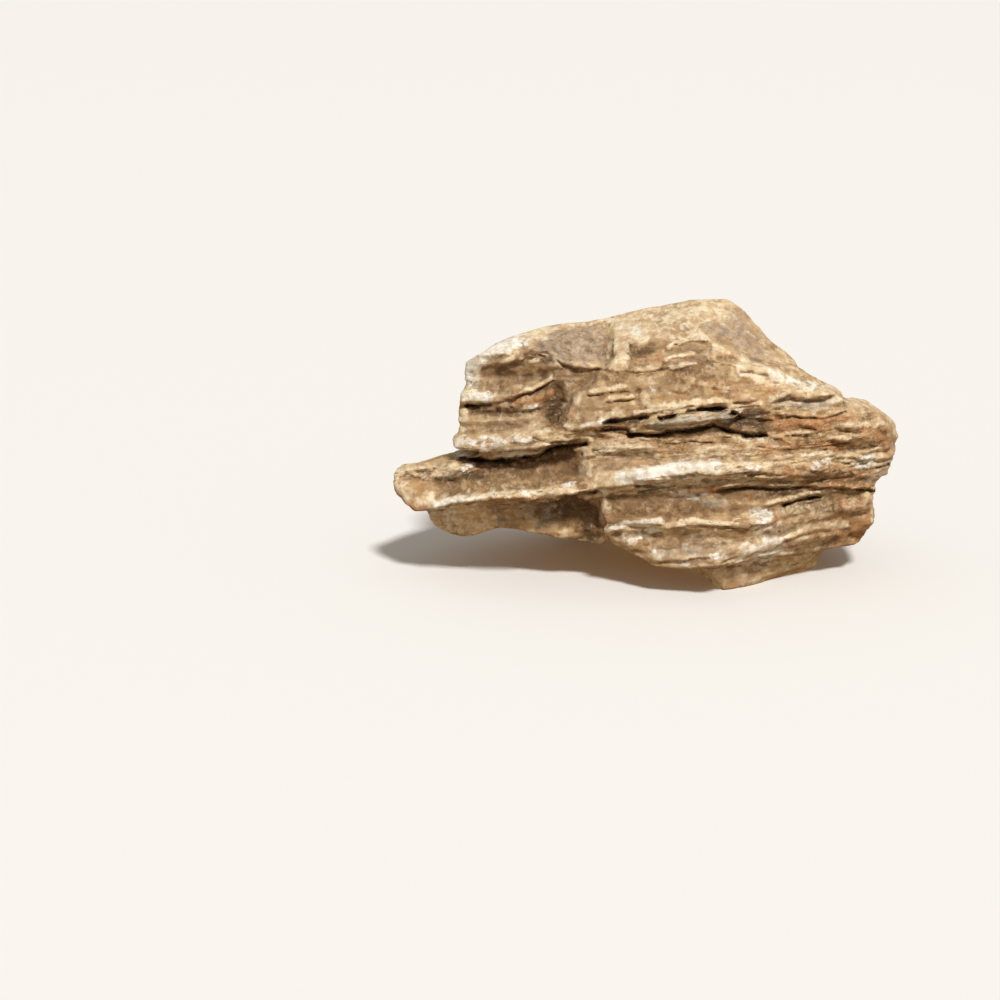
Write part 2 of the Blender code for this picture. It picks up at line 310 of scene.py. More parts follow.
# What the photograph shows on the front of the stone, by the photograph's pixels. Each line is drawn from
# left to right, or from top to bottom. A cut is a crack: its half width in pixels, its depth in millimetres,
# and its line.
CUTS = {
    "main_crack": (2.3, 8.0, [
        (629, 434), (657, 435), (686, 431), (700, 428), (714, 426), (729, 431), (747, 435), (766, 436),
    ]),
    "crack_over_flake": (2.6, 8.0, [(661, 419), (681, 414), (698, 410), (724, 409)]),
    "flake_end_hole": (2.6, 6.0, [(733, 413), (740, 417)]),
    "crack_left_of_flake": (2.2, 5.0, [(603, 424), (632, 419), (647, 417)]),
    "crack_foot_of_shoulder": (1.9, 5.0, [(602, 429), (627, 430), (630, 434)]),
    "left_slot": (1.7, 6.0, [(467, 405), (480, 405), (490, 404)]),
    "step_shadow": (1.3, 3.0, [(515, 397), (527, 394), (540, 389), (552, 381)]),
    "rim_crack": (1.3, 2.4, [(530, 351), (546, 352), (555, 359)]),
    "under_facet": (1.2, 2.6, [(555, 360), (563, 366), (586, 370), (606, 370)]),
    "foot_of_facet": (1.3, 2.8, [(620, 371), (643, 373), (655, 371), (668, 369)]),
    "slope_crack_high": (1.1, 1.6, [(713, 361), (724, 364), (736, 368)]),
    "slope_crack_low": (1.0, 1.5, [(740, 371), (752, 372), (767, 376)]),
    "lip_crack": (1.2, 2.2, [(534, 438), (550, 443), (565, 443), (580, 441)]),
    "lip_gap": (2.2, 7.0, [
        (459, 458), (492, 461), (512, 460), (539, 455), (555, 447), (571, 445), (586, 443),
    ]),
    "band_crack_left": (1.1, 2.5, [(638, 492), (655, 489), (675, 486)]),
    "band_crack_low": (1.0, 2.0, [(659, 498), (680, 498), (700, 496)]),
    "band_crack_long": (1.5, 4.0, [
        (717, 490), (745, 487), (777, 489), (803, 486), (818, 488), (866, 490), (877, 491),
    ]),
    "open_crack": (1.7, 5.0, [(784, 505), (797, 501), (810, 498), (819, 497)]),
    "thin_crack": (1.0, 2.5, [(799, 504), (810, 503), (820, 501)]),
    "ledge_crack": (1.2, 2.5, [(748, 475), (757, 474), (766, 473)]),
    "band_dark": (1.4, 2.5, [(818, 480), (835, 478), (853, 477)]),
    "end_crack_high": (1.1, 2.5, [(733, 404), (747, 403), (757, 401)]),
    "end_crack_1": (1.2, 3.0, [(786, 416), (800, 418), (820, 419), (832, 416), (846, 412)]),
    "end_crack_2": (1.1, 2.5, [(828, 442), (842, 443), (855, 442)]),
    "end_crack_3": (1.3, 3.0, [(866, 470), (878, 468), (888, 465)]),
    "end_crack_4": (1.1, 2.0, [(793, 436), (806, 437), (818, 436)]),
    "end_crack_5": (1.1, 2.2, [(868, 486), (878, 484), (890, 481)]),
    "end_crack_6": (1.0, 2.0, [(752, 425), (768, 420), (782, 419)]),
    "brown_recess": (1.6, 2.0, [(636, 486), (652, 487), (670, 487)]),
    "under_rim_gap": (1.3, 3.5, [(566, 496), (582, 494), (597, 492)]),
    "lower_crack": (1.0, 1.3, [(717, 529), (738, 527), (757, 526)]),
    "upright_crack": (0.9, 1.0, [(840, 506), (843, 515), (846, 524)]),
    "slope_flake_1": (1.0, 1.3, [(692, 377), (706, 381)]),
    "slope_flake_2": (1.0, 1.3, [(713, 389), (731, 391)]),
    "slope_flake_3": (0.9, 1.2, [(668, 391), (684, 394)]),
    "middle_flake_1": (1.0, 1.6, [(640, 441), (656, 440)]),
    "middle_flake_2": (1.0, 1.6, [(690, 441), (712, 443)]),
    "middle_flake_3": (1.0, 1.5, [(706, 457), (722, 458)]),
    "end_flake_1": (1.0, 2.0, [(757, 447), (775, 449)]),
    "end_flake_2": (1.0, 2.0, [(800, 428), (815, 430)]),
    "end_flake_3": (1.1, 2.2, [(846, 432), (862, 433)]),
    "end_flake_4": (1.0, 2.0, [(870, 445), (885, 447)]),
    "end_flake_5": (1.0, 1.8, [(790, 463), (805, 462)]),
    "end_flake_6": (1.0, 1.8, [(835, 462), (850, 464)]),
    "end_flake_7": (1.0, 1.8, [(770, 410), (784, 409)]),
    "end_flake_8": (1.0, 1.8, [(812, 450), (828, 450)]),
    "under_shoulder_high": (0.9, 1.6, [(589, 396), (608, 394), (628, 391)]),
    "under_shoulder_low": (0.9, 1.4, [(606, 403), (620, 401), (635, 400)]),
}

# A swell is a broad rise (+) or hollow (-): millimetres out, reach in pixels, and its line.
SWELLS = {
    "rim": (1.8, 6, [(468, 386), (471, 368), (482, 358), (497, 352), (514, 346)]),
    "hollow_under_rim": (-3.8, 10, [(499, 377), (516, 376), (540, 381)]),
    "wall_end": (-3.0, 9, [(546, 386), (550, 400), (552, 414)]),
    "rim_lump_low": (1.6, 4, [(474, 368), (480, 364)]),
    "rim_lump": (1.6, 4, [(499, 353), (507, 350)]),
    "rim_lump_high": (1.4, 4, [(528, 342), (534, 347)]),
    "scallop": (1.4, 3.5, [(511, 338), (516, 348), (520, 358)]),
    "scallop_dip": (-1.4, 4, [(524, 343), (527, 355)]),
    "end_of_bed": (1.4, 5, [(459, 396), (475, 399), (492, 400)]),
    "slot_hollow": (-3.0, 6, [(470, 409), (494, 411), (512, 412)]),
    "broken_lens": (2.2, 5.5, [(524, 403), (538, 399), (550, 393)]),
    "corner_wedge": (-6.0, 7, [(559, 388), (560, 405), (558, 422)]),
    "low_wall": (1.0, 10, [(475, 424), (510, 423), (538, 424)]),
    "lip": (1.6, 6, [(456, 446), (480, 448), (510, 448), (530, 446)]),
    "lip_lump_left": (1.4, 4, [(468, 446), (474, 444)]),
    "lip_lump": (1.4, 4, [(496, 447), (503, 445)]),
    "lip_lump_right": (1.2, 4, [(520, 441), (527, 440)]),
    "plate_under_lip": (-4.0, 9, [(468, 465), (500, 467), (535, 463), (568, 456)]),
    "plate_hollow": (-2.0, 10, [(440, 488), (480, 482), (530, 477), (570, 470)]),
    "plate_tip": (1.4, 8, [(400, 477), (404, 488)]),
    "plate_rim": (2.2, 4.5, [(436, 504), (462, 499), (490, 495), (512, 494), (540, 490), (572, 486)]),
    "undercut": (-4.0, 13, [(545, 508), (575, 511), (585, 520), (588, 534)]),
    "facet_side": (-2.0, 3, [(607, 325), (608, 345), (608, 366)]),
    "east_knob": (1.6, 8, [(618, 330), (640, 330)]),
    "east_hollow": (-4.5, 7, [(632, 352), (643, 351), (652, 348)]),
    "east_shelf": (1.2, 5, [(618, 362), (640, 366), (658, 365)]),
    "facet_ridge": (1.8, 5, [(688, 320), (705, 335), (722, 350), (745, 361), (775, 372), (808, 389)]),
    "facet_dip": (-1.2, 9, [(712, 328), (728, 340), (745, 350)]),
    "shoulder_notch": (-2.2, 3, [(637, 391), (638, 402)]),
    "shoulder_back": (-2.6, 5, [(566, 400), (575, 390), (588, 382), (604, 377)]),
    "flake": (1.8, 5, [(640, 430), (665, 425), (695, 420), (725, 418)]),
    "flake_hollow": (-4.0, 6, [(735, 418), (748, 420), (764, 422)]),
    "pale_ledge": (1.2, 6, [(605, 480), (640, 474), (680, 468), (730, 466)]),
    "under_thin_ledge": (-3.0, 7, [(614, 499), (650, 497), (695, 497)]),
    "band_right": (-2.2, 6, [(725, 495), (790, 496), (860, 497)]),
    "brown_pit": (-2.0, 3, [(716, 468), (723, 468)]),
    "scoop": (-2.4, 7, [(642, 534), (656, 532)]),
    "scoop_edge": (1.4, 4, [(612, 530), (624, 524), (640, 523), (660, 521)]),
    "scoop_foot": (1.2, 4, [(623, 537), (628, 545), (642, 538), (656, 530)]),
    "low_facet": (1.2, 12, [(785, 517), (822, 511)]),
    "low_hollow": (-2.0, 9, [(800, 545), (842, 538)]),
    "edge_facet": (1.0, 7, [(866, 502), (869, 526)]),
    "end_notch": (-4.0, 4, [(879, 431), (885, 435)]),
    "end_shelf": (1.5, 6, [(788, 390), (812, 391), (830, 389)]),
    "toe_corner": (1.0, 8, [(716, 562), (724, 578)]),
    "knobs": (1.6, 5, [(733, 402), (748, 406), (760, 407)]),
    "plate_rim_lump_1": (1.3, 3.5, [(446, 503), (452, 502)]),
    "plate_rim_lump_2": (1.2, 3.5, [(478, 498), (484, 497)]),
    "plate_rim_lump_3": (1.2, 3.5, [(506, 497), (513, 497)]),
    "plate_rim_lump_4": (1.3, 3.5, [(548, 493), (556, 492)]),
    "rim_low": (3.2, 4, [(528, 499), (542, 499), (556, 498)]),
    "rim_low_right": (2.0, 4, [(588, 496), (604, 494)]),
}

# A ledge stands out along its line and is worn back below it: millimetres out, reach in pixels, its line.
LEDGE_EDGE = 1.5  # how far below its line a ledge breaks off, pixels
WORN_BACK = 0.8  # how far it is worn back there, in parts of how far it stands out
LEDGES = {
    "rim_foot": (2.0, 5, [(486, 364), (503, 364), (520, 359), (530, 351), (548, 354)]),
    "end_of_bed_foot": (1.4, 4, [(458, 403), (475, 403), (496, 401), (514, 396)]),
    "step": (2.0, 4, [(515, 396), (528, 391), (540, 386), (552, 379)]),
    "lens_foot": (1.2, 3, [(516, 408), (530, 409), (542, 406)]),
    "facet_foot": (1.1, 4, [(549, 357), (561, 364), (586, 369), (609, 369)]),
    "east_foot": (1.1, 4, [(618, 371), (643, 373), (667, 369)]),
    "east_crest": (1.8, 4, [(665, 349), (675, 343), (690, 339), (706, 340)]),
    "crest_2": (1.1, 3, [(664, 361), (678, 357), (690, 355)]),
    "crest_3": (1.1, 3, [(666, 370), (680, 367), (694, 364)]),
    "slope_high": (1.0, 3, [(710, 360), (724, 363), (737, 368)]),
    "slope_low": (1.0, 3, [(738, 370), (752, 371), (768, 375)]),
    "right_ledge": (2.2, 5, [(772, 402), (786, 395), (810, 398), (836, 393)]),
    "shoulder_high": (0.8, 2.5, [(589, 394), (608, 392), (627, 389)]),
    "shoulder_low": (0.8, 2.5, [(606, 401), (620, 399), (634, 398)]),
    "over_flake": (1.8, 4, [(636, 418), (661, 409), (690, 405), (724, 402)]),
    "flake_foot": (1.8, 4, [(600, 428), (629, 432), (658, 433), (686, 428), (715, 426)]),
    "white_step": (1.1, 3, [(582, 428), (608, 425)]),
    "middle_line": (1.2, 3, [(583, 457), (601, 453), (624, 450), (643, 447)]),
    "lip_foot": (1.8, 5, [
        (459, 456), (492, 458), (512, 456), (539, 452), (555, 446), (571, 443), (586, 441),
    ]),
    "plate_skin_left": (1.0, 3, [(408, 473), (416, 476), (430, 479)]),
    "plate_skin_right": (1.2, 3.5, [(434, 476), (446, 480), (456, 477), (466, 473)]),
    "plate_rim_foot": (2.0, 4, [
        (436, 508), (465, 501), (490, 499), (523, 499), (555, 497), (573, 494), (592, 492),
    ]),
    "pale_ledge_foot": (1.8, 4, [(640, 481), (660, 481), (683, 475), (719, 474), (743, 471), (770, 472)]),
    "thin_ledge": (1.5, 3, [(571, 496), (590, 498), (617, 489), (646, 487)]),
    "band_left": (1.2, 3, [(640, 490), (660, 488), (680, 486), (700, 483)]),
    "band_long": (1.9, 4, [(717, 489), (745, 486), (777, 488), (803, 485), (818, 487), (876, 490)]),
    "band_short": (1.1, 3, [(748, 475), (766, 473), (800, 474), (850, 474)]),
    "end_1": (1.4, 3.5, [(783, 415), (800, 416), (822, 417), (846, 411)]),
    "end_2": (1.2, 3.5, [(787, 436), (804, 436), (820, 437)]),
    "end_3": (1.4, 3.5, [(824, 440), (840, 441), (858, 441)]),
    "end_4": (1.2, 3.5, [(862, 452), (877, 450), (890, 448)]),
    "end_5": (1.4, 3.5, [(776, 458), (800, 457), (830, 455), (860, 458), (888, 458)]),
    "end_6": (1.3, 3.5, [(864, 470), (876, 468), (889, 465)]),
    "end_7": (1.2, 3.5, [(810, 469), (828, 471), (848, 472)]),
    "end_8": (1.2, 3.5, [(866, 487), (878, 484), (892, 481)]),
    "end_9": (1.1, 3, [(731, 413), (750, 417), (772, 419)]),
    "end_10": (1.0, 3, [(756, 434), (772, 436), (790, 443)]),
    "end_11": (1.1, 3, [(843, 429), (856, 427), (867, 427)]),
    "open_crack_lip": (1.0, 3, [(768, 504), (784, 502), (805, 496), (820, 494)]),
    "low_ridge": (1.0, 4, [(652, 532), (668, 528), (690, 523), (716, 526), (756, 527)]),
    "scoop_lip": (0.9, 3, [(608, 534), (624, 527), (640, 527), (661, 524)]),
    "low_ledge": (0.7, 4, [(776, 547), (790, 537), (805, 532), (822, 530), (846, 527)]),
    "white_block_foot": (1.2, 3, [(753, 524), (763, 524), (776, 520)]),
    "low_front_1": (0.6, 3.5, [(630, 549), (655, 547), (690, 545), (722, 541)]),
    "low_front_2": (0.6, 3.5, [(655, 561), (680, 559), (708, 556), (732, 552)]),
    "toe_top": (1.3, 4, [(700, 567), (722, 564), (750, 561), (790, 556)]),
}

# Calm faces keep smooth, and rough ones break into thin sheets: reach in pixels, and the line.
CALM = {
    "upper_wall": (15, [(492, 374), (515, 374), (538, 376)]),
    "low_wall": (10, [(470, 424), (510, 423), (545, 422)]),
    "left_facet": (17, [(555, 345), (575, 343), (595, 342)]),
    "right_facet": (18, [(712, 320), (728, 330), (745, 345)]),
    "east_face": (9, [(615, 330), (616, 350), (620, 362)]),
    "shoulder": (13, [(575, 412), (600, 412), (626, 408)]),
    "slope": (9, [(660, 388), (690, 388), (715, 385)]),
    "plate": (10, [(425, 490), (480, 482), (530, 476), (575, 470)]),
    "under_plate": (12, [(450, 518), (500, 514), (545, 515), (590, 520)]),
    "low_face": (11, [(625, 507), (690, 505), (740, 505)]),
    "low_front": (13, [(640, 548), (690, 542), (750, 545)]),
    "low_right": (11, [(790, 548), (840, 538)]),
    "low_right_side": (13, [(768, 530), (805, 524), (848, 518)]),
    "low_facet": (12, [(788, 518), (822, 512)]),
    "edge_facet": (8, [(866, 500), (870, 526)]),
    "toe": (10, [(722, 576), (760, 572), (800, 565)]),
}
ROUGH = {
    "right_end": (22, [(785, 425), (820, 430), (860, 430)]),
    "right_end_low": (12, [(780, 455), (820, 460), (870, 470)]),
    "band": (7, [(640, 487), (700, 481), (760, 480), (860, 484)]),
    "flake": (8, [(600, 425), (650, 424), (700, 416), (755, 412)]),
    "lip": (7, [(470, 450), (510, 448), (560, 441)]),
    "middle": (9, [(600, 452), (680, 448), (760, 448)]),
    "plate_skin": (6, [(400, 470), (440, 474), (465, 470)]),
}

# Colours laid over the body of the stone, one kind after the other: how strong, half width in pixels, line.
# Besides stains and crusts, they hold painted shade in recesses and under ledges and painted highlights on
# lit edges.
TINTS = {
    "pink": {
        "left_facet": (1.0, 17, [(555, 346), (575, 344), (595, 342)]),
        "right_facet": (0.65, 17, [(714, 320), (734, 332), (756, 350)]),
        "east_top": (0.5, 10, [(655, 320), (690, 314)]),
        "end_patch": (0.6, 6, [(812, 466), (828, 462)]),
    },
    # Rust: iron stain, and in a few hollows and under the crests a warm painted shade.
    "rust": {
        "lens": (0.8, 5, [(520, 402), (536, 400), (550, 393)]),
        "right_slope": (0.6, 7, [(762, 388), (785, 391), (800, 393)]),
        "right_end_1": (0.95, 9, [(770, 424), (805, 426), (850, 421)]),
        "right_end_2": (0.8, 9, [(790, 445), (830, 448), (866, 446)]),
        "edge": (0.9, 7, [(884, 442), (892, 452)]),
        "end_pocket": (0.85, 6, [(866, 430), (882, 432)]),
        "slope": (0.5, 7, [(690, 378), (715, 386), (742, 388)]),
        "right_side": (0.9, 11, [(848, 508), (862, 520), (848, 536)]),
        "low_face": (0.3, 8, [(620, 508), (690, 508)]),
        "over_flake": (0.8, 4, [(728, 400), (745, 400), (760, 404)]),
        "plate_foot": (0.6, 5, [(404, 498), (414, 507), (424, 512)]),
        "low_pits": (0.7, 4, [(780, 543), (788, 539)]),
        "band": (0.5, 4, [(690, 484), (720, 481), (760, 478)]),
        "rim_line": (0.4, 3, [(480, 499), (510, 499), (540, 497)]),
        "crest": (0.4, 3, [(640, 336), (665, 348), (680, 346)]),
        "right_end_3": (0.5, 6, [(790, 470), (830, 471), (870, 474)]),
        "low_right": (0.6, 10, [(770, 520), (810, 532), (840, 525)]),
        "east_hollow": (0.6, 8, [(630, 356), (645, 352), (660, 358)]),
        "under_crests": (0.5, 6, [(668, 374), (700, 372)]),
        "middle": (0.35, 8, [(600, 442), (660, 443), (740, 446)]),
        "knobs": (0.6, 4, [(728, 399), (742, 404), (756, 410)]),
        "plate_shade": (0.35, 8, [(470, 475), (520, 472), (570, 466)]),
    },
    # Mostly painted shade: dark brown laid in the recesses, corners and hollows and under the rims, lips and
    # ledges, with a little real brown stain in pits and lines.
    "umber_and_shade": {
        "hollow_under_rim": (0.3, 12, [(499, 376), (514, 375), (530, 380)]),
        "rim_shade": (0.5, 5, [(494, 369), (510, 367), (522, 363)]),
        "wall_end": (0.9, 13, [(541, 404), (552, 408), (553, 416)]),
        "wall_corner": (0.75, 6, [(548, 377), (565, 378), (592, 378)]),
        "corner_wedge": (1.0, 6, [(557, 388), (561, 405), (558, 422)]),
        "slope": (0.3, 11, [(655, 386), (700, 384), (740, 382)]),
        "middle_bed": (0.3, 8, [(600, 441), (640, 441), (700, 444)]),
        "low_face": (0.6, 9, [(606, 506), (660, 506), (705, 510)]),
        "plate_right": (0.65, 8, [(515, 482), (545, 479), (572, 476)]),
        "slot": (0.8, 5, [(468, 411), (500, 412), (516, 413)]),
        "scallop_dip": (0.6, 4, [(512, 350), (516, 361)]),
        "facet_side": (0.6, 3, [(604, 325), (606, 345), (606, 362)]),
        "under_crests": (0.8, 5, [(665, 367), (690, 368), (712, 366)]),
        "under_crests_low": (0.6, 5, [(668, 376), (706, 375)]),
        "left_of_flake": (0.9, 7, [(604, 428), (624, 424), (642, 420)]),
        "end_of_flake": (0.95, 10, [(722, 422), (742, 424), (764, 424)]),
        "end_of_crack": (0.6, 4, [(738, 433), (768, 437)]),
        "under_thin_ledge": (0.9, 9, [(604, 501), (650, 500), (702, 501)]),
        "band_low": (0.9, 8, [(722, 493), (760, 492), (800, 496), (852, 499)]),
        "open_crack": (0.85, 7, [(785, 506), (815, 503), (840, 507)]),
        "east_hollow": (0.9, 8, [(630, 353), (642, 350), (650, 347)]),
        "left_lens": (0.6, 4, [(470, 410), (480, 411)]),
        "plate_under_lip": (0.85, 9, [(462, 466), (500, 468), (535, 463), (570, 456)]),
        "plate_hollow": (0.85, 11, [(450, 487), (490, 481), (560, 474)]),
        "plate_end": (0.7, 7, [(562, 470), (574, 464), (576, 478)]),
        "skin_line": (0.7, 2, [(412, 476), (428, 480)]),
        "skin_line_right": (0.7, 2, [(436, 479), (446, 482), (464, 475)]),
        "undercut": (0.95, 15, [(548, 510), (576, 510), (590, 516), (590, 534)]),
        "undercut_long": (0.55, 9, [(492, 506), (520, 506), (555, 504)]),
        "brown_pit": (0.9, 2.5, [(716, 468), (722, 468)]),
        "recess": (0.6, 3, [(636, 487), (655, 488), (672, 487)]),
        "band": (0.3, 5, [(715, 486), (745, 483), (790, 485), (830, 482), (865, 484)]),
        "band_dark": (0.8, 5, [(800, 473), (825, 478), (850, 477)]),
        "end_notch": (0.9, 3.5, [(878, 431), (885, 436)]),
        "low_hollow": (0.4, 8, [(798, 548), (820, 541), (850, 536)]),
        "scoop": (0.35, 6, [(642, 533), (655, 531)]),
        "marks": (0.7, 2.5, [(730, 399), (741, 401), (752, 403)]),
        "under_ledge": (0.4, 5, [(640, 446), (600, 455)]),
        "low_line": (0.5, 2.5, [(717, 530), (757, 527)]),
        "right_facet_foot": (0.3, 5, [(702, 338), (712, 350)]),
        "scallop_crack": (0.6, 3, [(530, 353), (545, 356)]),
        "wall_low": (0.35, 5, [(470, 415), (500, 417), (530, 418)]),
        "wall_step": (0.3, 6, [(480, 392), (505, 391), (530, 388)]),
        "lip_end": (0.75, 5, [(530, 443), (552, 446), (582, 441)]),
        "plate_shade": (0.55, 7, [(434, 479), (465, 479), (500, 475)]),
        "east_low": (0.4, 5, [(622, 366), (640, 360)]),
        "under_crest_high": (0.5, 4, [(668, 352), (690, 349), (706, 350)]),
        "end_mid": (0.6, 5, [(800, 441), (814, 441)]),
        "right_side": (0.3, 9, [(862, 510), (866, 524)]),
        "rim_underside": (0.55, 4, [(517, 354), (532, 355), (548, 359)]),
        "plate_under_lip_left": (1.0, 8, [(440, 474), (462, 474), (488, 474)]),
        "band_right_low": (0.6, 7, [(800, 506), (838, 507)]),
        "crest_shade": (0.6, 5, [(684, 371), (706, 371)]),
        "shoulder_top": (0.5, 6, [(562, 372), (586, 376), (600, 384)]),
        "shoulder_edge": (0.4, 6, [(582, 386), (606, 394)]),
        "shoulder_corner": (0.5, 6, [(580, 440), (592, 430), (604, 424)]),
        "wall_left": (0.6, 6, [(470, 388), (500, 389)]),
        "low_front": (0.35, 9, [(650, 549), (690, 547), (715, 552)]),
        "ledge_pit": (0.6, 3, [(740, 473), (760, 472)]),
        "under_lens": (0.5, 5, [(518, 411), (550, 410)]),
        "middle_shade": (0.4, 9, [(584, 384), (612, 378), (640, 366)]),
        "left_facet": (0.25, 16, [(555, 347), (575, 346), (595, 344)]),
    },
    # Painted shadow: near-black patches laid in the deepest corners and undercuts and under the lip and
    # ledges, where the stone lies in shade.
    "dark": {
        "corner": (0.9, 8, [(550, 394), (555, 405), (553, 414)]),
        "under_lip": (0.7, 4, [(462, 461), (500, 463), (540, 459), (575, 449)]),
        "left_of_flake": (0.9, 6, [(622, 425), (640, 419)]),
        "end_of_flake": (0.8, 6, [(735, 420), (760, 424)]),
        "undercut": (1.0, 10, [(552, 505), (578, 505), (590, 511), (590, 530)]),
        "band": (0.6, 4, [(768, 491), (800, 492)]),
        "band_end": (0.7, 4, [(838, 474), (850, 476)]),
        "below_band": (0.5, 5, [(806, 505), (838, 506)]),
        "plate_line": (0.7, 5, [(440, 477), (462, 476), (488, 473)]),
        "rim_underside": (0.5, 3.5, [(524, 355), (548, 358)]),
        "lip_right": (0.7, 5, [(532, 443), (552, 445)]),
        "slot": (0.5, 4, [(468, 410), (498, 412)]),
        "east_hollow": (0.3, 7, [(632, 352), (646, 349)]),
    },
    # Grey: grey patches of the stone, and a cool painted shade on the undersides below the ledges.
    "grey": {
        "lip": (0.7, 3.5, [(476, 452), (490, 449), (501, 446)]),
        "flake": (0.75, 4.5, [(655, 425), (680, 421), (705, 418), (730, 417)]),
        "right_underside": (0.8, 5.5, [(777, 402), (795, 402), (812, 403), (833, 400)]),
        "pale_ledge_low": (0.7, 3.5, [(672, 480), (690, 478), (722, 475), (740, 472)]),
        "band_lens": (0.7, 4, [(674, 495), (690, 495), (704, 494)]),
        "end_facets": (0.7, 5, [(862, 465), (878, 462), (890, 460)]),
        "end_facets_low": (0.6, 4, [(868, 478), (885, 475)]),
        "low_patch": (0.6, 5, [(706, 503), (724, 504)]),
        "under_plate": (0.45, 11, [(450, 519), (500, 516), (550, 515)]),
        "low_front": (0.4, 8, [(660, 553), (690, 551), (730, 548)]),
    },
    # Cream: pale crust on rims and ledges, and painted highlights on lit edges and faces. Some strokes
    # lighten faces that lie in shade, such as under the plate and at the middle bed's end.
    "cream": {
        "rim": (0.95, 6.5, [
            (464, 388), (466, 370), (476, 360), (488, 352), (502, 346), (517, 339), (545, 331),
        ]),
        "rim_side": (0.9, 8, [(478, 362), (473, 376), (469, 390)]),
        "middle_edge": (0.85, 7, [(588, 438), (587, 452), (588, 470)]),
        "pale_low": (0.9, 6.5, [(594, 492), (625, 487), (655, 483), (695, 481), (715, 478)]),
        "toe_top": (0.7, 8, [(735, 562), (775, 562), (808, 559)]),
        "end_11": (0.9, 4, [(836, 427), (850, 425), (866, 426)]),
        "end_4": (0.7, 4, [(846, 445), (870, 446), (888, 447)]),
        "rim_top": (0.6, 4, [(545, 330), (575, 324), (604, 319)]),
        "rim_inner": (0.7, 4, [(484, 359), (503, 361), (514, 353), (520, 346)]),
        "left_edge": (0.8, 6, [(463, 414), (461, 426), (458, 438)]),
        "lip_tip": (0.95, 6, [(453, 441), (454, 447), (460, 451)]),
        "lip_low": (0.95, 5.5, [(498, 455), (515, 454), (532, 450), (545, 446)]),
        "step": (0.8, 2, [(527, 389), (540, 384), (552, 377)]),
        "left_lens": (0.8, 2.2, [(483, 408), (494, 409)]),
        "east_edge": (0.95, 5, [(613, 328), (614, 345), (611, 362)]),
        "east_knob": (0.95, 9, [(619, 330), (630, 330), (642, 336)]),
        "east_low": (0.6, 7, [(619, 345), (622, 355), (620, 363)]),
        "top_edge": (0.7, 4, [(612, 317), (640, 311), (667, 305), (700, 301)]),
        "top_mid": (0.5, 9, [(655, 325), (672, 330), (690, 332)]),
        "east_crest": (0.95, 2.5, [(670, 347), (683, 340), (694, 337), (706, 339)]),
        "crest_2": (0.8, 2, [(666, 359), (678, 356), (690, 354)]),
        "crest_3": (0.8, 2, [(668, 368), (680, 365), (694, 362)]),
        "facet_ridge_top": (0.85, 1.8, [(688, 320), (699, 330), (709, 340), (718, 348)]),
        "facet_ridge": (0.95, 3.2, [(718, 348), (727, 354), (739, 359), (768, 369)]),
        "facet_ridge_low": (0.95, 4, [(768, 369), (790, 380), (808, 389)]),
        "right_ledge": (0.9, 8.5, [(740, 364), (765, 376), (790, 385), (812, 388), (834, 390)]),
        "slope_foot": (0.5, 4, [(640, 380), (655, 384)]),
        "shoulder_high": (0.85, 2, [(590, 391), (608, 389), (626, 386)]),
        "shoulder_low": (0.8, 2, [(609, 398), (632, 395)]),
        "shoulder_face": (0.6, 5, [(643, 395), (645, 405)]),
        "over_flake": (0.9, 5, [(640, 414), (665, 408), (695, 404), (724, 402), (748, 410)]),
        "flake_edge": (0.6, 2, [(632, 431), (649, 418), (662, 412)]),
        "upright_edge": (0.6, 3, [(583, 430), (584, 442)]),
        "middle_line": (0.85, 3.2, [(583, 457), (601, 454), (620, 451), (645, 451)]),
        "pale_top": (0.9, 3.5, [(598, 477), (627, 471), (661, 464), (690, 463), (740, 463), (770, 465)]),
        "pale_face": (0.9, 6, [(612, 479), (640, 474), (680, 469), (730, 467)]),
        "pale_right": (0.2, 3.2, [(740, 467), (770, 466), (800, 465), (830, 463)]),
        "thin_ledge": (0.95, 4, [(588, 496), (605, 492), (620, 488), (646, 485)]),
        "end_3": (0.8, 2, [(826, 437), (842, 437), (857, 438)]),
        "end_2": (0.6, 2, [(787, 433), (804, 433), (820, 434)]),
        "end_5": (0.75, 4, [(790, 456), (820, 454), (850, 458), (886, 458)]),
        "end_column": (0.6, 5, [(890, 412), (896, 420), (898, 432)]),
        "end_notch": (0.9, 2, [(866, 426), (876, 425), (885, 424)]),
        "end_top": (0.6, 4, [(838, 394), (858, 401), (880, 409)]),
        "open_crack": (0.75, 2, [(770, 501), (785, 499), (803, 493), (819, 491)]),
        "low_ridge": (0.8, 2.5, [(652, 530), (668, 525), (690, 520), (716, 523), (736, 524)]),
        "low_ledge": (0.85, 3.5, [(778, 543), (790, 534), (805, 528), (822, 526), (845, 524)]),
        "low_facet": (0.35, 11, [(788, 516), (822, 511)]),
        "edge_facet": (0.8, 7, [(850, 506), (862, 512)]),
        "plate_tip": (0.8, 8, [(399, 472), (398, 483), (405, 492)]),
        "plate_skin": (0.8, 4.5, [(400, 468), (425, 471), (444, 472), (457, 466)]),
        "plate_rim": (0.9, 3.8, [
            (416, 504), (436, 504), (462, 499), (491, 495), (512, 495), (540, 494), (573, 490),
        ]),
        "plate_corner": (0.6, 6, [(412, 500), (424, 506)]),
        "under_plate": (0.95, 14, [(432, 508), (455, 516), (480, 522)]),
        "toe_edge": (0.5, 3, [(716, 570), (722, 585)]),
        "low_front": (0.3, 5, [(640, 556), (670, 560), (700, 560)]),
        "edge_low": (0.5, 2.5, [(875, 497), (873, 520)]),
        "top_corner": (0.7, 6, [(700, 304), (724, 304)]),
        "right_facet_edge": (0.4, 7, [(752, 328), (775, 351), (795, 371)]),
        "knobs": (0.7, 6, [(735, 401), (758, 406)]),
        "shoulder_foot": (0.5, 5, [(596, 418), (610, 415), (622, 412)]),
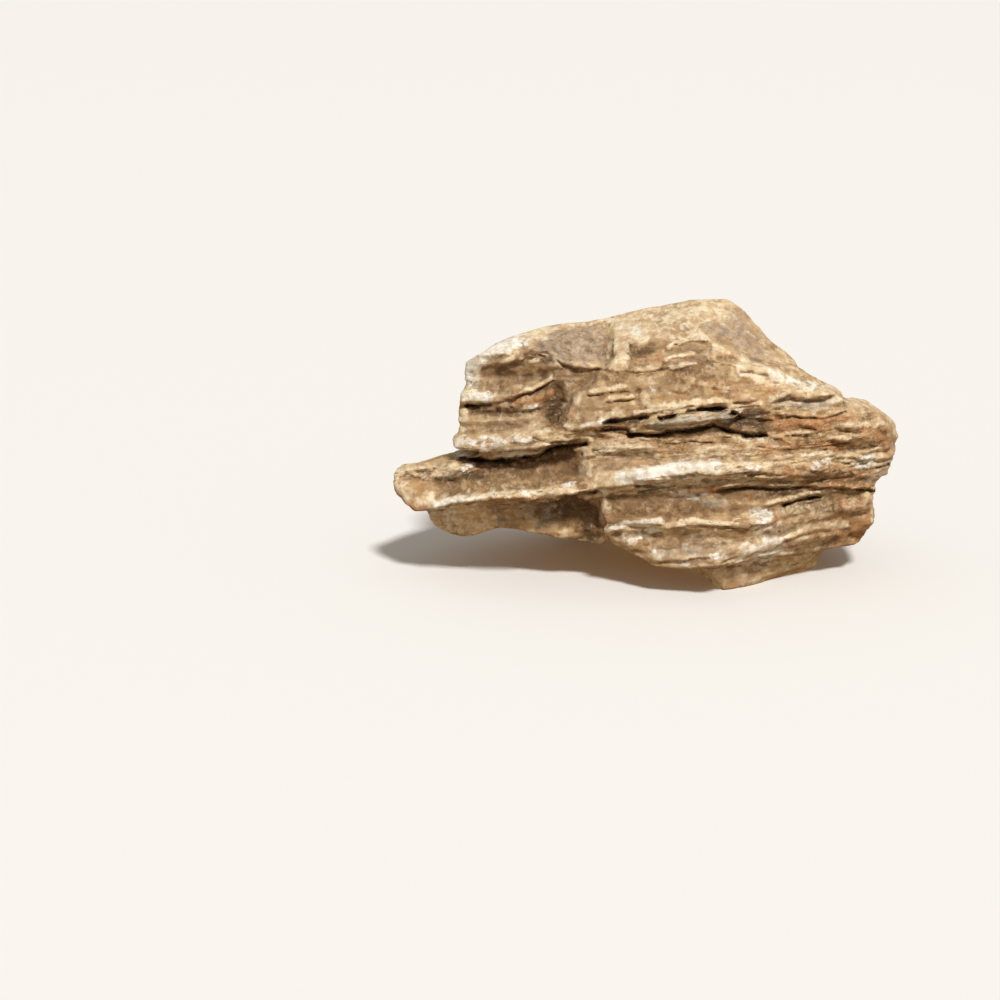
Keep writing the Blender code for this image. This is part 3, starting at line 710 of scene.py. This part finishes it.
        "middle_right": (0.7, 6, [(698, 452), (728, 452), (750, 456)]),
        "scoop_face": (0.95, 7, [(626, 530), (645, 529), (665, 529)]),
        "low_middle": (0.35, 9, [(684, 538), (722, 538)]),
        "low_ridge_end": (0.55, 5, [(756, 530), (775, 527), (790, 524)]),
        "low_hollow": (0.6, 6, [(790, 546), (814, 545)]),
        "low_corner": (0.6, 5, [(594, 530), (604, 540)]),
        "low_wall": (0.25, 8, [(465, 424), (495, 424), (528, 422)]),
        "shoulder_left": (0.5, 8, [(572, 428), (570, 412), (574, 396)]),
        "middle_left": (0.75, 7, [(600, 449), (622, 448), (650, 451)]),
        "end_upper": (0.55, 5, [(834, 400), (848, 402), (862, 405)]),
        "end_middle": (0.8, 7, [(850, 446), (864, 450), (876, 460)]),
        "low_scoop": (0.5, 8, [(602, 536), (625, 541), (650, 530)]),
        "low_right": (0.9, 13, [(748, 557), (775, 542), (796, 532)]),
        "toe_front": (0.8, 7, [(718, 574), (742, 570)]),
        "top_face": (0.75, 9, [(612, 322), (640, 318), (690, 312), (720, 314)]),
        "below_flake": (0.5, 5, [(684, 434), (705, 433)]),
        "under_rim": (0.5, 6, [(520, 373), (545, 371)]),
        "lip_left": (0.8, 5, [(456, 450), (468, 456)]),
        "ledge_low": (0.9, 5, [(722, 481), (760, 479)]),
        "band_left": (0.6, 6, [(680, 486), (702, 484)]),
        "low_left": (0.6, 6, [(596, 494), (604, 508), (606, 520)]),
        "rim_face": (0.9, 5, [(528, 496), (555, 495)]),
        "end_ledge": (0.6, 5, [(770, 400), (798, 399)]),
        "ledge_mid": (0.9, 5, [(686, 477), (694, 488)]),
        "slope_left": (0.25, 8, [(652, 379), (668, 388)]),
        "plate_middle": (0.2, 8, [(470, 489), (520, 484)]),
    },
    # White: white crust, and painted highlights on the brightest ledge faces and rims.
    "white": {
        "rim": (0.95, 7, [(467, 378), (475, 364), (488, 354), (502, 345), (517, 338)]),
        "end_of_bed": (0.85, 5, [(460, 395), (474, 397), (489, 398)]),
        "lip": (0.7, 4.5, [(457, 441), (466, 443), (480, 441), (497, 440)]),
        "lip_spots": (0.6, 3.5, [(508, 440), (517, 438), (530, 438)]),
        "lens": (0.8, 2.2, [(529, 407), (535, 406)]),
        "skin_spot": (0.85, 3, [(462, 468), (471, 466)]),
        "plate_rim": (0.85, 3.5, [(432, 507), (446, 503), (462, 500)]),
        "rim_right": (0.5, 2.5, [(548, 488), (572, 484)]),
        "east_knob": (0.6, 4, [(625, 327), (640, 332)]),
        "step": (0.8, 2, [(582, 426), (596, 423), (608, 421)]),
        "pale_face": (1.0, 6, [(620, 478), (650, 474), (672, 469), (696, 467), (716, 466)]),
        "pale_end": (0.35, 3.5, [(738, 468), (758, 467)]),
        "right_ledge": (0.6, 4, [(770, 373), (795, 382), (812, 386)]),
        "slope_patch": (0.5, 4, [(650, 386), (655, 392)]),
        "end_patch": (0.6, 4, [(814, 465), (826, 462)]),
        "end_facet": (0.8, 5, [(858, 462), (872, 458)]),
        "white_block": (0.95, 7, [(758, 513), (766, 518)]),
        "scoop_lip": (0.85, 3.0, [(611, 530), (624, 523), (638, 523), (659, 520)]),
        "scoop_side": (0.7, 2.2, [(621, 533), (623, 541), (628, 545)]),
        "scoop_foot": (0.75, 2.2, [(629, 541), (642, 536), (655, 529)]),
        "low_crust": (0.6, 3, [(709, 556), (727, 557)]),
        "low_crust_mid": (0.5, 2.5, [(680, 563), (693, 563)]),
        "low_crust_left": (0.5, 3, [(655, 551), (657, 563)]),
        "end_spot": (0.7, 2.5, [(892, 446), (894, 462)]),
        "plate_rim_2": (0.6, 2.5, [(470, 499), (486, 497)]),
        "plate_rim_3": (0.6, 2.5, [(520, 495), (536, 494)]),
        "rim_front": (0.9, 5, [(470, 368), (472, 384)]),
        "rim_lumps": (0.8, 3, [(506, 352), (514, 344), (527, 341)]),
        "lip_low": (0.6, 3.5, [(505, 452), (520, 452)]),
        "pale_low": (0.6, 3.5, [(640, 484), (672, 480), (700, 478)]),
        "end_patch_high": (0.5, 4, [(778, 396), (800, 396)]),
        "under_plate": (0.6, 8, [(436, 512), (452, 518)]),
        "lip_low_mid": (0.7, 5, [(507, 454), (524, 453)]),
        "over_flake_end": (0.6, 5, [(744, 411), (756, 412)]),
        "lower_right": (0.7, 12, [(752, 557), (776, 545)]),
        "low_ridge_end": (0.5, 4, [(756, 530), (778, 527)]),
        "lip_left": (0.6, 5, [(456, 450), (466, 455)]),
        "scoop_face": (0.5, 5, [(640, 530), (656, 528)]),
        "thin_ledge": (0.5, 3.5, [(590, 494), (606, 492)]),
    },
    "iron": {
        "knobs": (0.7, 4, [(735, 398), (748, 404)]),
        "end_1": (0.7, 4, [(776, 418), (800, 422)]),
        "end_2": (0.75, 4, [(806, 425), (838, 421)]),
        "end_3": (0.7, 4, [(820, 442), (850, 445)]),
        "end_pocket": (0.8, 5, [(866, 430), (882, 437)]),
        "end_4": (0.6, 4, [(755, 447), (775, 450)]),
        "end_5": (0.6, 3.5, [(783, 471), (800, 473)]),
        "band_1": (0.7, 3.5, [(830, 480), (850, 478)]),
        "band_2": (0.7, 3, [(800, 486), (868, 489)]),
        "band_3": (0.6, 3, [(690, 490), (720, 488)]),
        "edge": (0.7, 5, [(884, 442), (893, 455)]),
        "side_foot": (0.7, 5, [(846, 533), (858, 536)]),
        "low_pits": (0.7, 3, [(785, 541), (790, 546)]),
        "lens": (0.7, 4, [(528, 403), (550, 394)]),
        "plate": (0.4, 6, [(404, 480), (420, 486)]),
        "plate_foot": (0.7, 5, [(412, 505), (425, 511)]),
        "left_of_flake": (0.6, 3, [(600, 428), (640, 426)]),
        "below_band": (0.5, 5, [(836, 500), (850, 506)]),
        "slope": (0.4, 5, [(770, 390), (800, 393)]),
        "side": (0.6, 5, [(860, 505), (864, 520)]),
        "rim_line": (0.5, 2.5, [(486, 500), (540, 498)]),
    },
}


# The finished mesh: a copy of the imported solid, weathered in two passes. A wedge of stone fills the corner
# where the plate's wall meets the end of the middle bed.
MERGE = 0.00001  # points nearer to each other than this become one, m
WEDGE = [(-33, -57), (-46, -42), (-20, -58), (-20, -35)]  # the wedge's corners seen from above, mm
WEDGE_HEIGHTS = (65, 86)  # its foot and its top, mm

cad_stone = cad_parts["stone"]
stone = bpy.data.objects.new("weathered_stone", cad_stone.data.copy())
stone.data.materials.clear()
bpy.context.scene.collection.objects.link(stone)
bpy.ops.object.select_all(action="DESELECT")
stone.select_set(True)
bpy.context.view_layer.objects.active = stone
bpy.ops.object.mode_set(mode="EDIT")
bpy.ops.mesh.select_all(action="SELECT")
bpy.ops.mesh.remove_doubles(threshold=MERGE)
bpy.ops.object.mode_set(mode="OBJECT")
bpy.ops.object.select_all(action="DESELECT")
bpy.ops.mesh.primitive_cube_add(size=1)
wedge = bpy.context.active_object
put_points(wedge, np.array([(x, y, z) for x, y in WEDGE for z in WEDGE_HEIGHTS], np.float32))
stone.select_set(True)
bpy.context.view_layer.objects.active = stone
bpy.ops.object.join()
finish_with(stone, "REMESH", mode="VOXEL", voxel_size=ROUGH_GRID * MM)
finish_with(stone, "SMOOTH", factor=0.5, iterations=5)

# How strokes are drawn: how far their lines wander, and how many reaches away from its line each has faded.
WANDER = 1.3  # pixels
RELIEF_FADES = 2.2
CUT_FADES = 4
BROAD_WHOLE = 0.6  # calm and rough strokes are whole up to here, and gone at the next
BROAD_GONE = 1.4
TINT_WHOLE = 0.5  # tints likewise
TINT_GONE = 1.6


def seen_at(points):
    """Where the photograph shows the points: pixels to the right and down."""
    off = points * MM - np.array(camera.location)
    ahead = -np.array(to_camera)
    up = np.array((0, math.sin(CAMERA_HEIGHT), math.cos(CAMERA_HEIGHT)))
    depth = off @ ahead
    pixels = LENS_MM / SENSOR_MM * PICTURE / depth
    return np.stack([PICTURE / 2 + pixels * off[:, 0], PICTURE / 2 - pixels * (off @ up)], 1)


def line_distance(seen, line):
    """How far, in pixels, each point is from a line, and on which side: plus is below the line."""
    least = np.full(len(seen), np.inf, np.float32)
    side = np.zeros(len(seen), np.float32)
    for start, end in itertools.pairwise(np.array(line, np.float32)):
        run = end - start
        length = np.linalg.norm(run)
        off = seen - start
        part = np.clip((off @ run) / length**2, 0, 1)
        gap = np.linalg.norm(off - part[:, None] * run, axis=1)
        cross = (run[0] * off[:, 1] - run[1] * off[:, 0]) / length
        nearer = gap < least
        least = np.where(nearer, gap, least)
        side = np.where(nearer, cross, side)
    return least, side


def near(seen, line, reach):
    """Which points lie within reach of a line's box, how far each is from the line, and on which side."""
    low = np.min(line, 0) - reach
    high = np.max(line, 0) + reach
    close = np.flatnonzero(((seen > low) & (seen < high)).all(1))
    return close, *line_distance(seen[close], line)


def ragged(points):
    """Where the photograph shows the points, shifted a little this way and that, so no stroke runs smooth."""
    broad = np.stack([noise(points, size=6, seed=31), noise(points, size=6, seed=32)], 1)
    return seen_at(points) + WANDER * (broad + 0.5 * noise(points, size=2.2, seed=33)[:, None])


def facing_camera(normals):
    """1 where the stone faces the photograph's camera, 0 where it faces away."""
    return ramp_up(normals @ np.array(to_camera), 0.0, 0.3)


def stepped(points):
    """How far each point stands out (+) or is worn back (-) by ledges, mm. They come and go."""
    seen = ragged(points)
    lasting = np.clip(0.9 + 0.9 * noise(points, size=9, seed=35), 0.1, 1.6)
    out = np.zeros(len(seen), np.float32)
    for rise, reach, line in LEDGES.values():
        close, gap, side = near(seen, line, RELIEF_FADES * reach)
        part = rise * lasting[close] * np.exp(-((gap / reach) ** 2))
        out[close] += part * np.where(side < LEDGE_EDGE, 1.0, -WORN_BACK)
    return out


def shaped(points, normals):
    """How far each point stands out (+) or is worn back (-) by swells and ledges, mm."""
    seen = ragged(points)
    out = np.zeros(len(points), np.float32)
    for rise, reach, line in SWELLS.values():
        close, gap, _ = near(seen, line, RELIEF_FADES * reach)
        out[close] += rise * np.exp(-((gap / reach) ** 2))
    return (out + stepped(points)) * facing_camera(normals)


def cut(points, normals):
    """How far each point goes in for the cracks, mm. They open and close along their length."""
    seen = ragged(points)
    open_by = np.clip(0.85 + 0.6 * noise(points, size=8, seed=34), 0.35, 1.5)
    depth = np.zeros(len(points), np.float32)
    for half_width, deep, line in CUTS.values():
        close, gap, _ = near(seen, line, CUT_FADES * half_width)
        part = np.exp(-((gap / (half_width * open_by[close])) ** 2))
        depth[close] = np.maximum(depth[close], deep * open_by[close] * part)
    return depth * facing_camera(normals)


def covered(points, normals, strokes):
    """How far each point lies in broad strokes, 0 to 1."""
    seen = ragged(points)
    share = np.zeros(len(points), np.float32)
    for reach, line in strokes.values():
        close, gap, _ = near(seen, line, BROAD_GONE * reach)
        part = 1 - ramp_up(gap, BROAD_WHOLE * reach, BROAD_GONE * reach)
        share[close] = np.maximum(share[close], part)
    return share * facing_camera(normals)


def roughness_of(points, normals, beds):
    """How much the beds break up into thin sheets: 0 on massive stone, 1 in the thin-bedded parts."""
    low_down = ramp_up(-beds[:, 2], -MASSIVE_ABOVE, -THICK_ABOVE)
    rough = ramp_up(noise(beds, size=(90, 90, 16), seed=11), -0.3, 0.4) * (0.3 + 0.7 * low_down)
    rough = np.maximum(rough, covered(points, normals, ROUGH))
    return rough * (1 - 0.9 * covered(points, normals, CALM))


def survey(obj):
    """What the weathering goes by, for each point: place, normal, bed, how edge-on its bed is, how rough."""
    places = points_of(obj)
    normals = normals_of(obj)
    beds = bed_places(places)
    edge_on = np.sqrt(np.clip(1 - (normals * bed_normals(places)).sum(1) ** 2, 0, 1))
    return places, normals, beds, edge_on, roughness_of(places, normals, beds)


def grown(step, rough):
    """A step's height, mm: its own on massive stone, and more the rougher the stone is."""
    own, more = step
    return own + more * rough


# How far things stand out, or go in, on massive stone, and how much more on rough stone, mm.
BLOCK_STEP = (0.45, 0.6)
BED_STEP = (0.2, 0.8)
CHIP_STEP = (0.08, 0.27)
SHEET_STEP = (0.08, 0.37)
SHEET_CRACK = (0.12, 0.7)
# And these do so alike on both.
OPEN_BED = 3.5  # depth of the open beds at the back
OPEN_BED_HALF = 0.9
SHEET_CRACK_HALF = 0.45
PIT_DEPTH = 0.6
UNEVEN = 0.8
UNEVEN_FINE = 0.2
FLAT_FOOT = 0.8  # points lower than this rest on the floor
FIRST_CUT = 0.6  # share of its cracks' depth that each pass cuts
SECOND_CUT = 0.7
SECOND_LEDGE = 0.35  # share of the ledges that the second pass adds
SPREAD = (1, 1, 0.55)  # the first pass moves points less up and down than sideways

toward = np.array(to_camera)

# First pass: beds, blocks and broad shapes.
places, normals, beds, edge_on, rough = survey(stone)
block_level = broken_blocks(beds, size=(30, 30, 12), seed=21)
bed_level, bed_gap = bed_steps(beds, bed_edges(3.0, 8.0, seed=7), run=30, seed=8)
out = grown(BLOCK_STEP, rough) * edge_on * block_level
out += grown(BED_STEP, rough) * edge_on * bed_level
out += UNEVEN * cloud(places, size=34, seed=14)
open_here = ramp_up(noise(beds, size=(50, 50, 9), seed=52), 0.15, 0.5) * (1 - facing_camera(normals))
out -= OPEN_BED * open_here * edge_on * np.exp(-((bed_gap / OPEN_BED_HALF) ** 2))
sideways = normals * np.array(SPREAD)
shift = shaped(places, normals) - FIRST_CUT * cut(places, normals)
put_points(stone, places + sideways * out[:, None] + toward * shift[:, None])
finish_with(stone, "REMESH", mode="VOXEL", voxel_size=FINE_GRID * MM)
finish_with(stone, "SMOOTH", factor=0.5, iterations=1)

# Second pass: thin beds, chips, pits and grit.
places, normals, beds, edge_on, rough = survey(stone)
chip_level = broken_blocks(beds, size=(9, 9, 3.2), seed=41)
sheet_level, sheet_gap = bed_steps(beds, bed_edges(0.9, 2.8, seed=17), run=16, seed=18)
sheet_crack = np.exp(-((sheet_gap / SHEET_CRACK_HALF) ** 2))
sheet_crack = sheet_crack * ramp_up(noise(beds, size=(26, 26, 7), seed=51), 0.0, 0.5)
pits = ramp_up(noise(places, size=3.2, seed=61), 0.45, 0.9)
pits = pits * ramp_up(noise(places, size=28, seed=62), -0.2, 0.4)
out = grown(CHIP_STEP, rough) * edge_on * chip_level
out += grown(SHEET_STEP, rough) * edge_on * sheet_level
out -= grown(SHEET_CRACK, rough) * edge_on * sheet_crack
out -= PIT_DEPTH * pits
out += UNEVEN_FINE * cloud(places, size=5.5, seed=63)
shift = SECOND_LEDGE * stepped(places) * facing_camera(normals) - SECOND_CUT * cut(places, normals)
places = places + normals * out[:, None] + toward * shift[:, None]
places[:, 2] = np.where(places[:, 2] < FLAT_FOOT, 0, places[:, 2])
put_points(stone, places)
stone.data.calc_loop_triangles()
finish_with(stone, "DECIMATE", ratio=TRIANGLES / len(stone.data.loop_triangles))
put_points(stone, points_of(stone))
stone.data.shade_smooth()


def store(obj, name, values):
    """Keeps one number for each point of the object, for its material."""
    numbers = obj.data.attributes.new(name, "FLOAT", "POINT")
    numbers.data.foreach_set("value", values.astype(np.float32))


def smoothed(obj, values, rounds):
    """Each point's values averaged with its neighbours', over and over."""
    ends = np.empty(len(obj.data.edges) * 2, np.int32)
    obj.data.edges.foreach_get("vertices", ends)
    ends = ends.reshape(-1, 2)
    here, beside = np.concatenate([ends, ends[:, ::-1]]).T
    count = np.bincount(here, minlength=len(values))
    for _ in range(rounds):
        sums = [np.bincount(here, column[beside], len(values)) for column in values.T]
        values = np.stack(sums, 1) / count[:, None]
    return values


# What the material needs to know: where the stone is hollow, where it has edges, how the beds run, and where
# its colours, painted shade and painted highlights lie.
places = points_of(stone)
normals = normals_of(stone)
evened = smoothed(stone, places, rounds=6)
broad = smoothed(stone, evened, rounds=40)
store(stone, "hollow", ((evened - places) * normals).sum(1))
store(stone, "sheltered", ((broad - places) * normals).sum(1))
beds = bed_places(places)
store(stone, "bed", beds[:, 2])
store(stone, "rough", roughness_of(places, normals, beds))
store(stone, "crack", cut(places, normals))
seen = ragged(places)
for kind, strokes in TINTS.items():
    tint = np.zeros(len(places), np.float32)
    for share, half_width, line in strokes.values():
        close, gap, _ = near(seen, line, TINT_GONE * half_width)
        part = share * (1 - ramp_up(gap, TINT_WHOLE * half_width, TINT_GONE * half_width))
        tint[close] = np.maximum(tint[close], part)
    store(stone, kind, tint * facing_camera(normals))


# The stone's skin: dry buff stone, darker in the beds that hold iron, cream on worn edges, brown in cracks
# and hollows from stain and painted shade, with painted highlights on some lit edges.
# A colour is red, green and blue. In a list of them, each has its place from 0 to 1 before it.
BUFF_BEDS = [
    (0.30, 0.40, 0.25, 0.12),
    (0.45, 0.47, 0.305, 0.152),
    (0.6, 0.54, 0.365, 0.19),
    (0.75, 0.60, 0.43, 0.245),
]
WARM_BUFF = (0.50, 0.36, 0.24)
RUSTY_BED = (0.47, 0.24, 0.095)
WORN_EDGE = (0.84, 0.70, 0.47)
CRUST = (0.76, 0.64, 0.44)
CLOUDING = [(0.0, 0.30, 0.28, 0.26), (0.5, 0.5, 0.5, 0.5), (1.0, 0.66, 0.69, 0.72)]
DIRT_AND_SHADE = (0.15, 0.085, 0.04)
SHELTERED_DUST_AND_SHADE = (0.22, 0.135, 0.07)
CRACK_EDGE = (0.13, 0.075, 0.035)
CRACK_BOTTOM_SHADOW = (0.025, 0.014, 0.007)
CHIP_TONES = [(0.0, 0.32, 0.30, 0.27), (0.9, 0.66, 0.66, 0.66)]
RUST_SPECK = (0.50, 0.22, 0.08)
PALE_FLECK = (0.82, 0.77, 0.64)
PALE_STREAK = (0.80, 0.68, 0.48)
DARK_STREAK = (0.20, 0.115, 0.055)
GRAIN_TONES = [(0.3, 0.25, 0.25, 0.25), (0.7, 0.75, 0.75, 0.75)]
# The kinds of patches, each with its dark tone, its pale tone and how strongly it covers. The brown and
# near-black kinds are mostly painted shade, the grey one partly cool painted shade, and the cream and white
# ones partly painted highlights.
PATCH_TONES = {
    "pink": ((0.31, 0.235, 0.170), (0.54, 0.405, 0.290), 0.85),
    "rust": ((0.37, 0.165, 0.060), (0.56, 0.310, 0.135), 0.75),
    "umber_and_shade": ((0.150, 0.085, 0.036), (0.25, 0.150, 0.070), 0.85),
    "dark": ((0.060, 0.034, 0.015), (0.12, 0.070, 0.032), 0.85),
    "grey": ((0.33, 0.285, 0.225), (0.55, 0.495, 0.400), 0.9),
    "cream": ((0.66, 0.485, 0.280), (0.86, 0.740, 0.540), 0.95),
    "white": ((0.74, 0.670, 0.550), (0.96, 0.935, 0.860), 0.97),
    "iron": ((0.33, 0.140, 0.050), (0.52, 0.265, 0.115), 0.8),
}
PATTERN_SCALE = (1 / MM, 0.6 / MM, 1 / MM)  # patterns are measured in millimetres, and drawn out to the back
STRATA_SCALE = (0.06, 0.06, 0.45)
CHIP_SCALE = (1, 1, 2.2)
STREAK_SCALE = (0.28, 0.28, 0.40)
CHIP = 4.0  # size of broken faces, mm
SMALL_CHIP = 1.9
BUMP_STRENGTH = 0.8
LEAST_ROUGH = 0.80
MOST_ROUGH = 0.97
SHINE = 0.3

limestone = bpy.data.materials.new("weathered_buff_stone")
limestone.use_nodes = True
tree = limestone.node_tree
stone.data.materials.append(limestone)


def node(kind, inputs=None, **settings):
    """Adds a shader node. Settings are its own, and inputs are values or the sockets that feed it."""
    made = tree.nodes.new(kind)
    for name, value in settings.items():
        setattr(made, name, value)
    for name, value in (inputs or {}).items():
        if isinstance(value, bpy.types.NodeSocket):
            tree.links.new(value, made.inputs[name])
        else:
            made.inputs[name].default_value = value
    return made


def kept(name):
    """The number that the mesh keeps under that name."""
    return node("ShaderNodeAttribute", attribute_name=name).outputs["Fac"]


def mottle(size, detail=3.0, roughness=0.55, place=None):
    """Noise from 0 to 1 in lumps of that size, mm, with so many finer layers, each by so much weaker."""
    inputs = {"Vector": place or where, "Scale": 1 / size, "Detail": detail, "Roughness": roughness}
    return node("ShaderNodeTexNoise", inputs).outputs["Fac"]


def between(value, low, high, first=0.0, last=1.0):
    """Goes from first to last as the value goes from low to high."""
    inputs = {"Value": value, "From Min": low, "From Max": high, "To Min": first, "To Max": last}
    return node("ShaderNodeMapRange", inputs, interpolation_type="SMOOTHSTEP").outputs["Result"]


def times(a, b):
    """The product of two numbers."""
    return node("ShaderNodeMath", {0: a, 1: b}, operation="MULTIPLY").outputs[0]


def plus(a, b):
    """The sum of two numbers."""
    return node("ShaderNodeMath", {0: a, 1: b}, operation="ADD").outputs[0]


def mixed(share, under, over, mode="MIX"):
    """One colour over another, by that share."""
    inputs = {SHARE: share, UNDER: under, OVER: over}
    return node("ShaderNodeMix", inputs, data_type="RGBA", blend_type=mode).outputs[MIXED]


def layer(share, under, colour):
    """One even colour over what lies under it, by that share."""
    return mixed(share, under, (*colour, 1))


def ramp(value, stops):
    """A colour that runs through the stops, (place, red, green, blue), as the value goes from 0 to 1."""
    made = node("ShaderNodeValToRGB", {"Fac": value})
    bar = made.color_ramp.elements
    while len(bar) < len(stops):
        bar.new(1.0)
    for mark, (place, *colour) in zip(bar, stops):
        mark.position = place
        mark.color = (*colour, 1)
    return made.outputs["Color"]


def vector_math(kind, first, second):
    """The outputs of one step of vector arithmetic."""
    return node("ShaderNodeVectorMath", {0: first, 1: second}, operation=kind).outputs


# Places for the patterns: plain ones, and ones with height up the pile of beds in place of z.
coordinates = node("ShaderNodeTexCoord").outputs["Object"]
where = node("ShaderNodeMapping", {"Vector": coordinates, "Scale": PATTERN_SCALE}).outputs["Vector"]
split = node("ShaderNodeSeparateXYZ", {"Vector": where}).outputs
bedded = node("ShaderNodeCombineXYZ", {"X": split["X"], "Y": split["Y"], "Z": kept("bed")}).outputs["Vector"]
strata_places = vector_math("MULTIPLY", bedded, STRATA_SCALE)["Vector"]
chip_places = vector_math("MULTIPLY", bedded, CHIP_SCALE)["Vector"]
streak_places = vector_math("MULTIPLY", chip_places, STREAK_SCALE)["Vector"]


def broken_faces(size):
    """Small broken faces of that size, mm, as the cells of a pattern."""
    return node("ShaderNodeTexVoronoi", {"Vector": chip_places, "Scale": 1 / size}).outputs


def leaning(cells):
    """How high the points of broken faces stand, mm. Each face leans its own way."""
    lean = vector_math("SUBTRACT", cells["Color"], (0.5, 0.5, 0.5))["Vector"]
    away = vector_math("SUBTRACT", chip_places, cells["Position"])["Vector"]
    return vector_math("DOT_PRODUCT", lean, away)["Value"]


chips = broken_faces(CHIP)
small_chips = broken_faces(SMALL_CHIP)

# The body of the stone, bed by bed.
strata = mottle(1.0, 3.0, 0.6, strata_places)
body = ramp(strata, BUFF_BEDS)
body = layer(times(between(mottle(38), 0.45, 0.7), 0.6), body, WARM_BUFF)
rusty = times(between(mottle(17, 4.0), 0.54, 0.68), between(strata, 0.60, 0.42))
body = layer(times(rusty, 0.6), body, RUSTY_BED)
worn = times(between(kept("hollow"), -0.12, -0.50), between(mottle(7, 4.0, 0.6), 0.42, 0.60))
body = layer(times(worn, 0.7), body, WORN_EDGE)
crust = times(between(mottle(15, 4.0, 0.6), 0.55, 0.66), between(mottle(3.5, 3.0, 0.6), 0.42, 0.58))
body = layer(times(crust, 0.5), body, CRUST)
clouded = between(plus(times(mottle(22), 0.45), times(mottle(7.5, 4.0, 0.6), 0.55)), 0.37, 0.63)
body = mixed(0.55, body, ramp(clouded, CLOUDING), "OVERLAY")

# The patches' two tones lie in round blotches on massive stone, and in flat ones on thin-bedded stone.
thin_bedded = between(kept("rough"), 0.1, 0.8)
massive = between(kept("rough"), 0.1, 0.8, 1.0, 0.0)
round_tones = times(mottle(4.2, 4.0, 0.65), massive)
tones = plus(round_tones, times(mottle(4.2, 4.0, 0.65, chip_places), thin_bedded))


def laid(kind, under, dark, pale, strength):
    """The two tones of that kind, mottled, laid over the colour under them with a broken edge."""
    broken = between(mottle(4.5, 4.0, 0.62), 0.3, 0.7, -0.45, 0.45)
    share = times(between(plus(kept(kind), broken), 0.12, 0.88), between(kept(kind), 0.0, 0.2))
    tone = mixed(between(tones, 0.40, 0.60), (*dark, 1), (*pale, 1))
    return mixed(times(share, strength), under, tone)


for kind, (dark, pale, strength) in PATCH_TONES.items():
    body = laid(kind, body, dark, pale, strength)

# Dirt and painted shade in the hollows, stain and painted shade in the cracks with painted shadow at the
# bottoms of deep ones, then chips, flecks, streaks and grain.
dirty_and_shaded = times(between(kept("hollow"), 0.05, 0.40), between(mottle(6), 0.3, 0.6))
body = layer(times(dirty_and_shaded, 0.7), body, DIRT_AND_SHADE)
# Broad hollows darkened brown: dust and painted shade.
body = layer(times(between(kept("sheltered"), 0.8, 3.2), 0.35), body, SHELTERED_DUST_AND_SHADE)
# Cracks darkened brown at their edges, stain and painted shade, and near-black painted shadow at the bottoms
# of the deep ones.
body = layer(times(between(kept("crack"), 0.4, 2.2), 0.8), body, CRACK_EDGE)
body = layer(between(kept("crack"), 2.4, 4.6), body, CRACK_BOTTOM_SHADOW)
chip_tone = node("ShaderNodeSeparateColor", {"Color": chips["Color"]}).outputs["Red"]
chip_tone = times(chip_tone, between(kept("rough"), 0.0, 0.8, 0.6, 1.0))
body = mixed(0.3, body, ramp(chip_tone, CHIP_TONES), "OVERLAY")
rust_specks = times(between(mottle(3.0, 4.0, 0.65), 0.56, 0.66), between(mottle(20), 0.45, 0.62))
body = layer(times(rust_specks, 0.5), body, RUST_SPECK)
pale_flecks = between(mottle(2.6, 3.0, 0.6), 0.58, 0.68)
body = layer(times(pale_flecks, 0.14), body, PALE_FLECK)
streaks = mottle(1.0, 3.0, 0.6, streak_places)
pale_streaks = times(between(streaks, 0.57, 0.66), between(kept("rough"), 0.0, 0.8, 0.08, 0.4))
body = layer(pale_streaks, body, PALE_STREAK)
dark_streaks = times(between(streaks, 0.43, 0.34), between(kept("rough"), 0.0, 0.8, 0.08, 0.65))
body = layer(dark_streaks, body, DARK_STREAK)
grain = mottle(1.1, 2.0, 0.5)
body = mixed(0.13, body, ramp(grain, GRAIN_TONES), "OVERLAY")

# The finest relief: pits and grit all over, and chips where the beds are thin.
chipped = between(kept("rough"), 0.1, 0.8, 0.0, 0.75)
chip_relief = plus(times(leaning(chips), 0.35), times(leaning(small_chips), 0.22))
relief = plus(times(mottle(3.4, 4.0, 0.6), 0.5), times(mottle(0.9, 2.0, 0.5), 0.05))
relief = plus(relief, times(chip_relief, chipped))
bump = node("ShaderNodeBump", {"Height": relief, "Distance": MM, "Strength": BUMP_STRENGTH}).outputs["Normal"]
skin = tree.nodes["Principled BSDF"]
tree.links.new(body, skin.inputs["Base Color"])
tree.links.new(between(grain, 0.2, 0.8, LEAST_ROUGH, MOST_ROUGH), skin.inputs["Roughness"])
tree.links.new(bump, skin.inputs["Normal"])
skin.inputs["Specular IOR Level"].default_value = SHINE

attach(stone, "root")
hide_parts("stone")
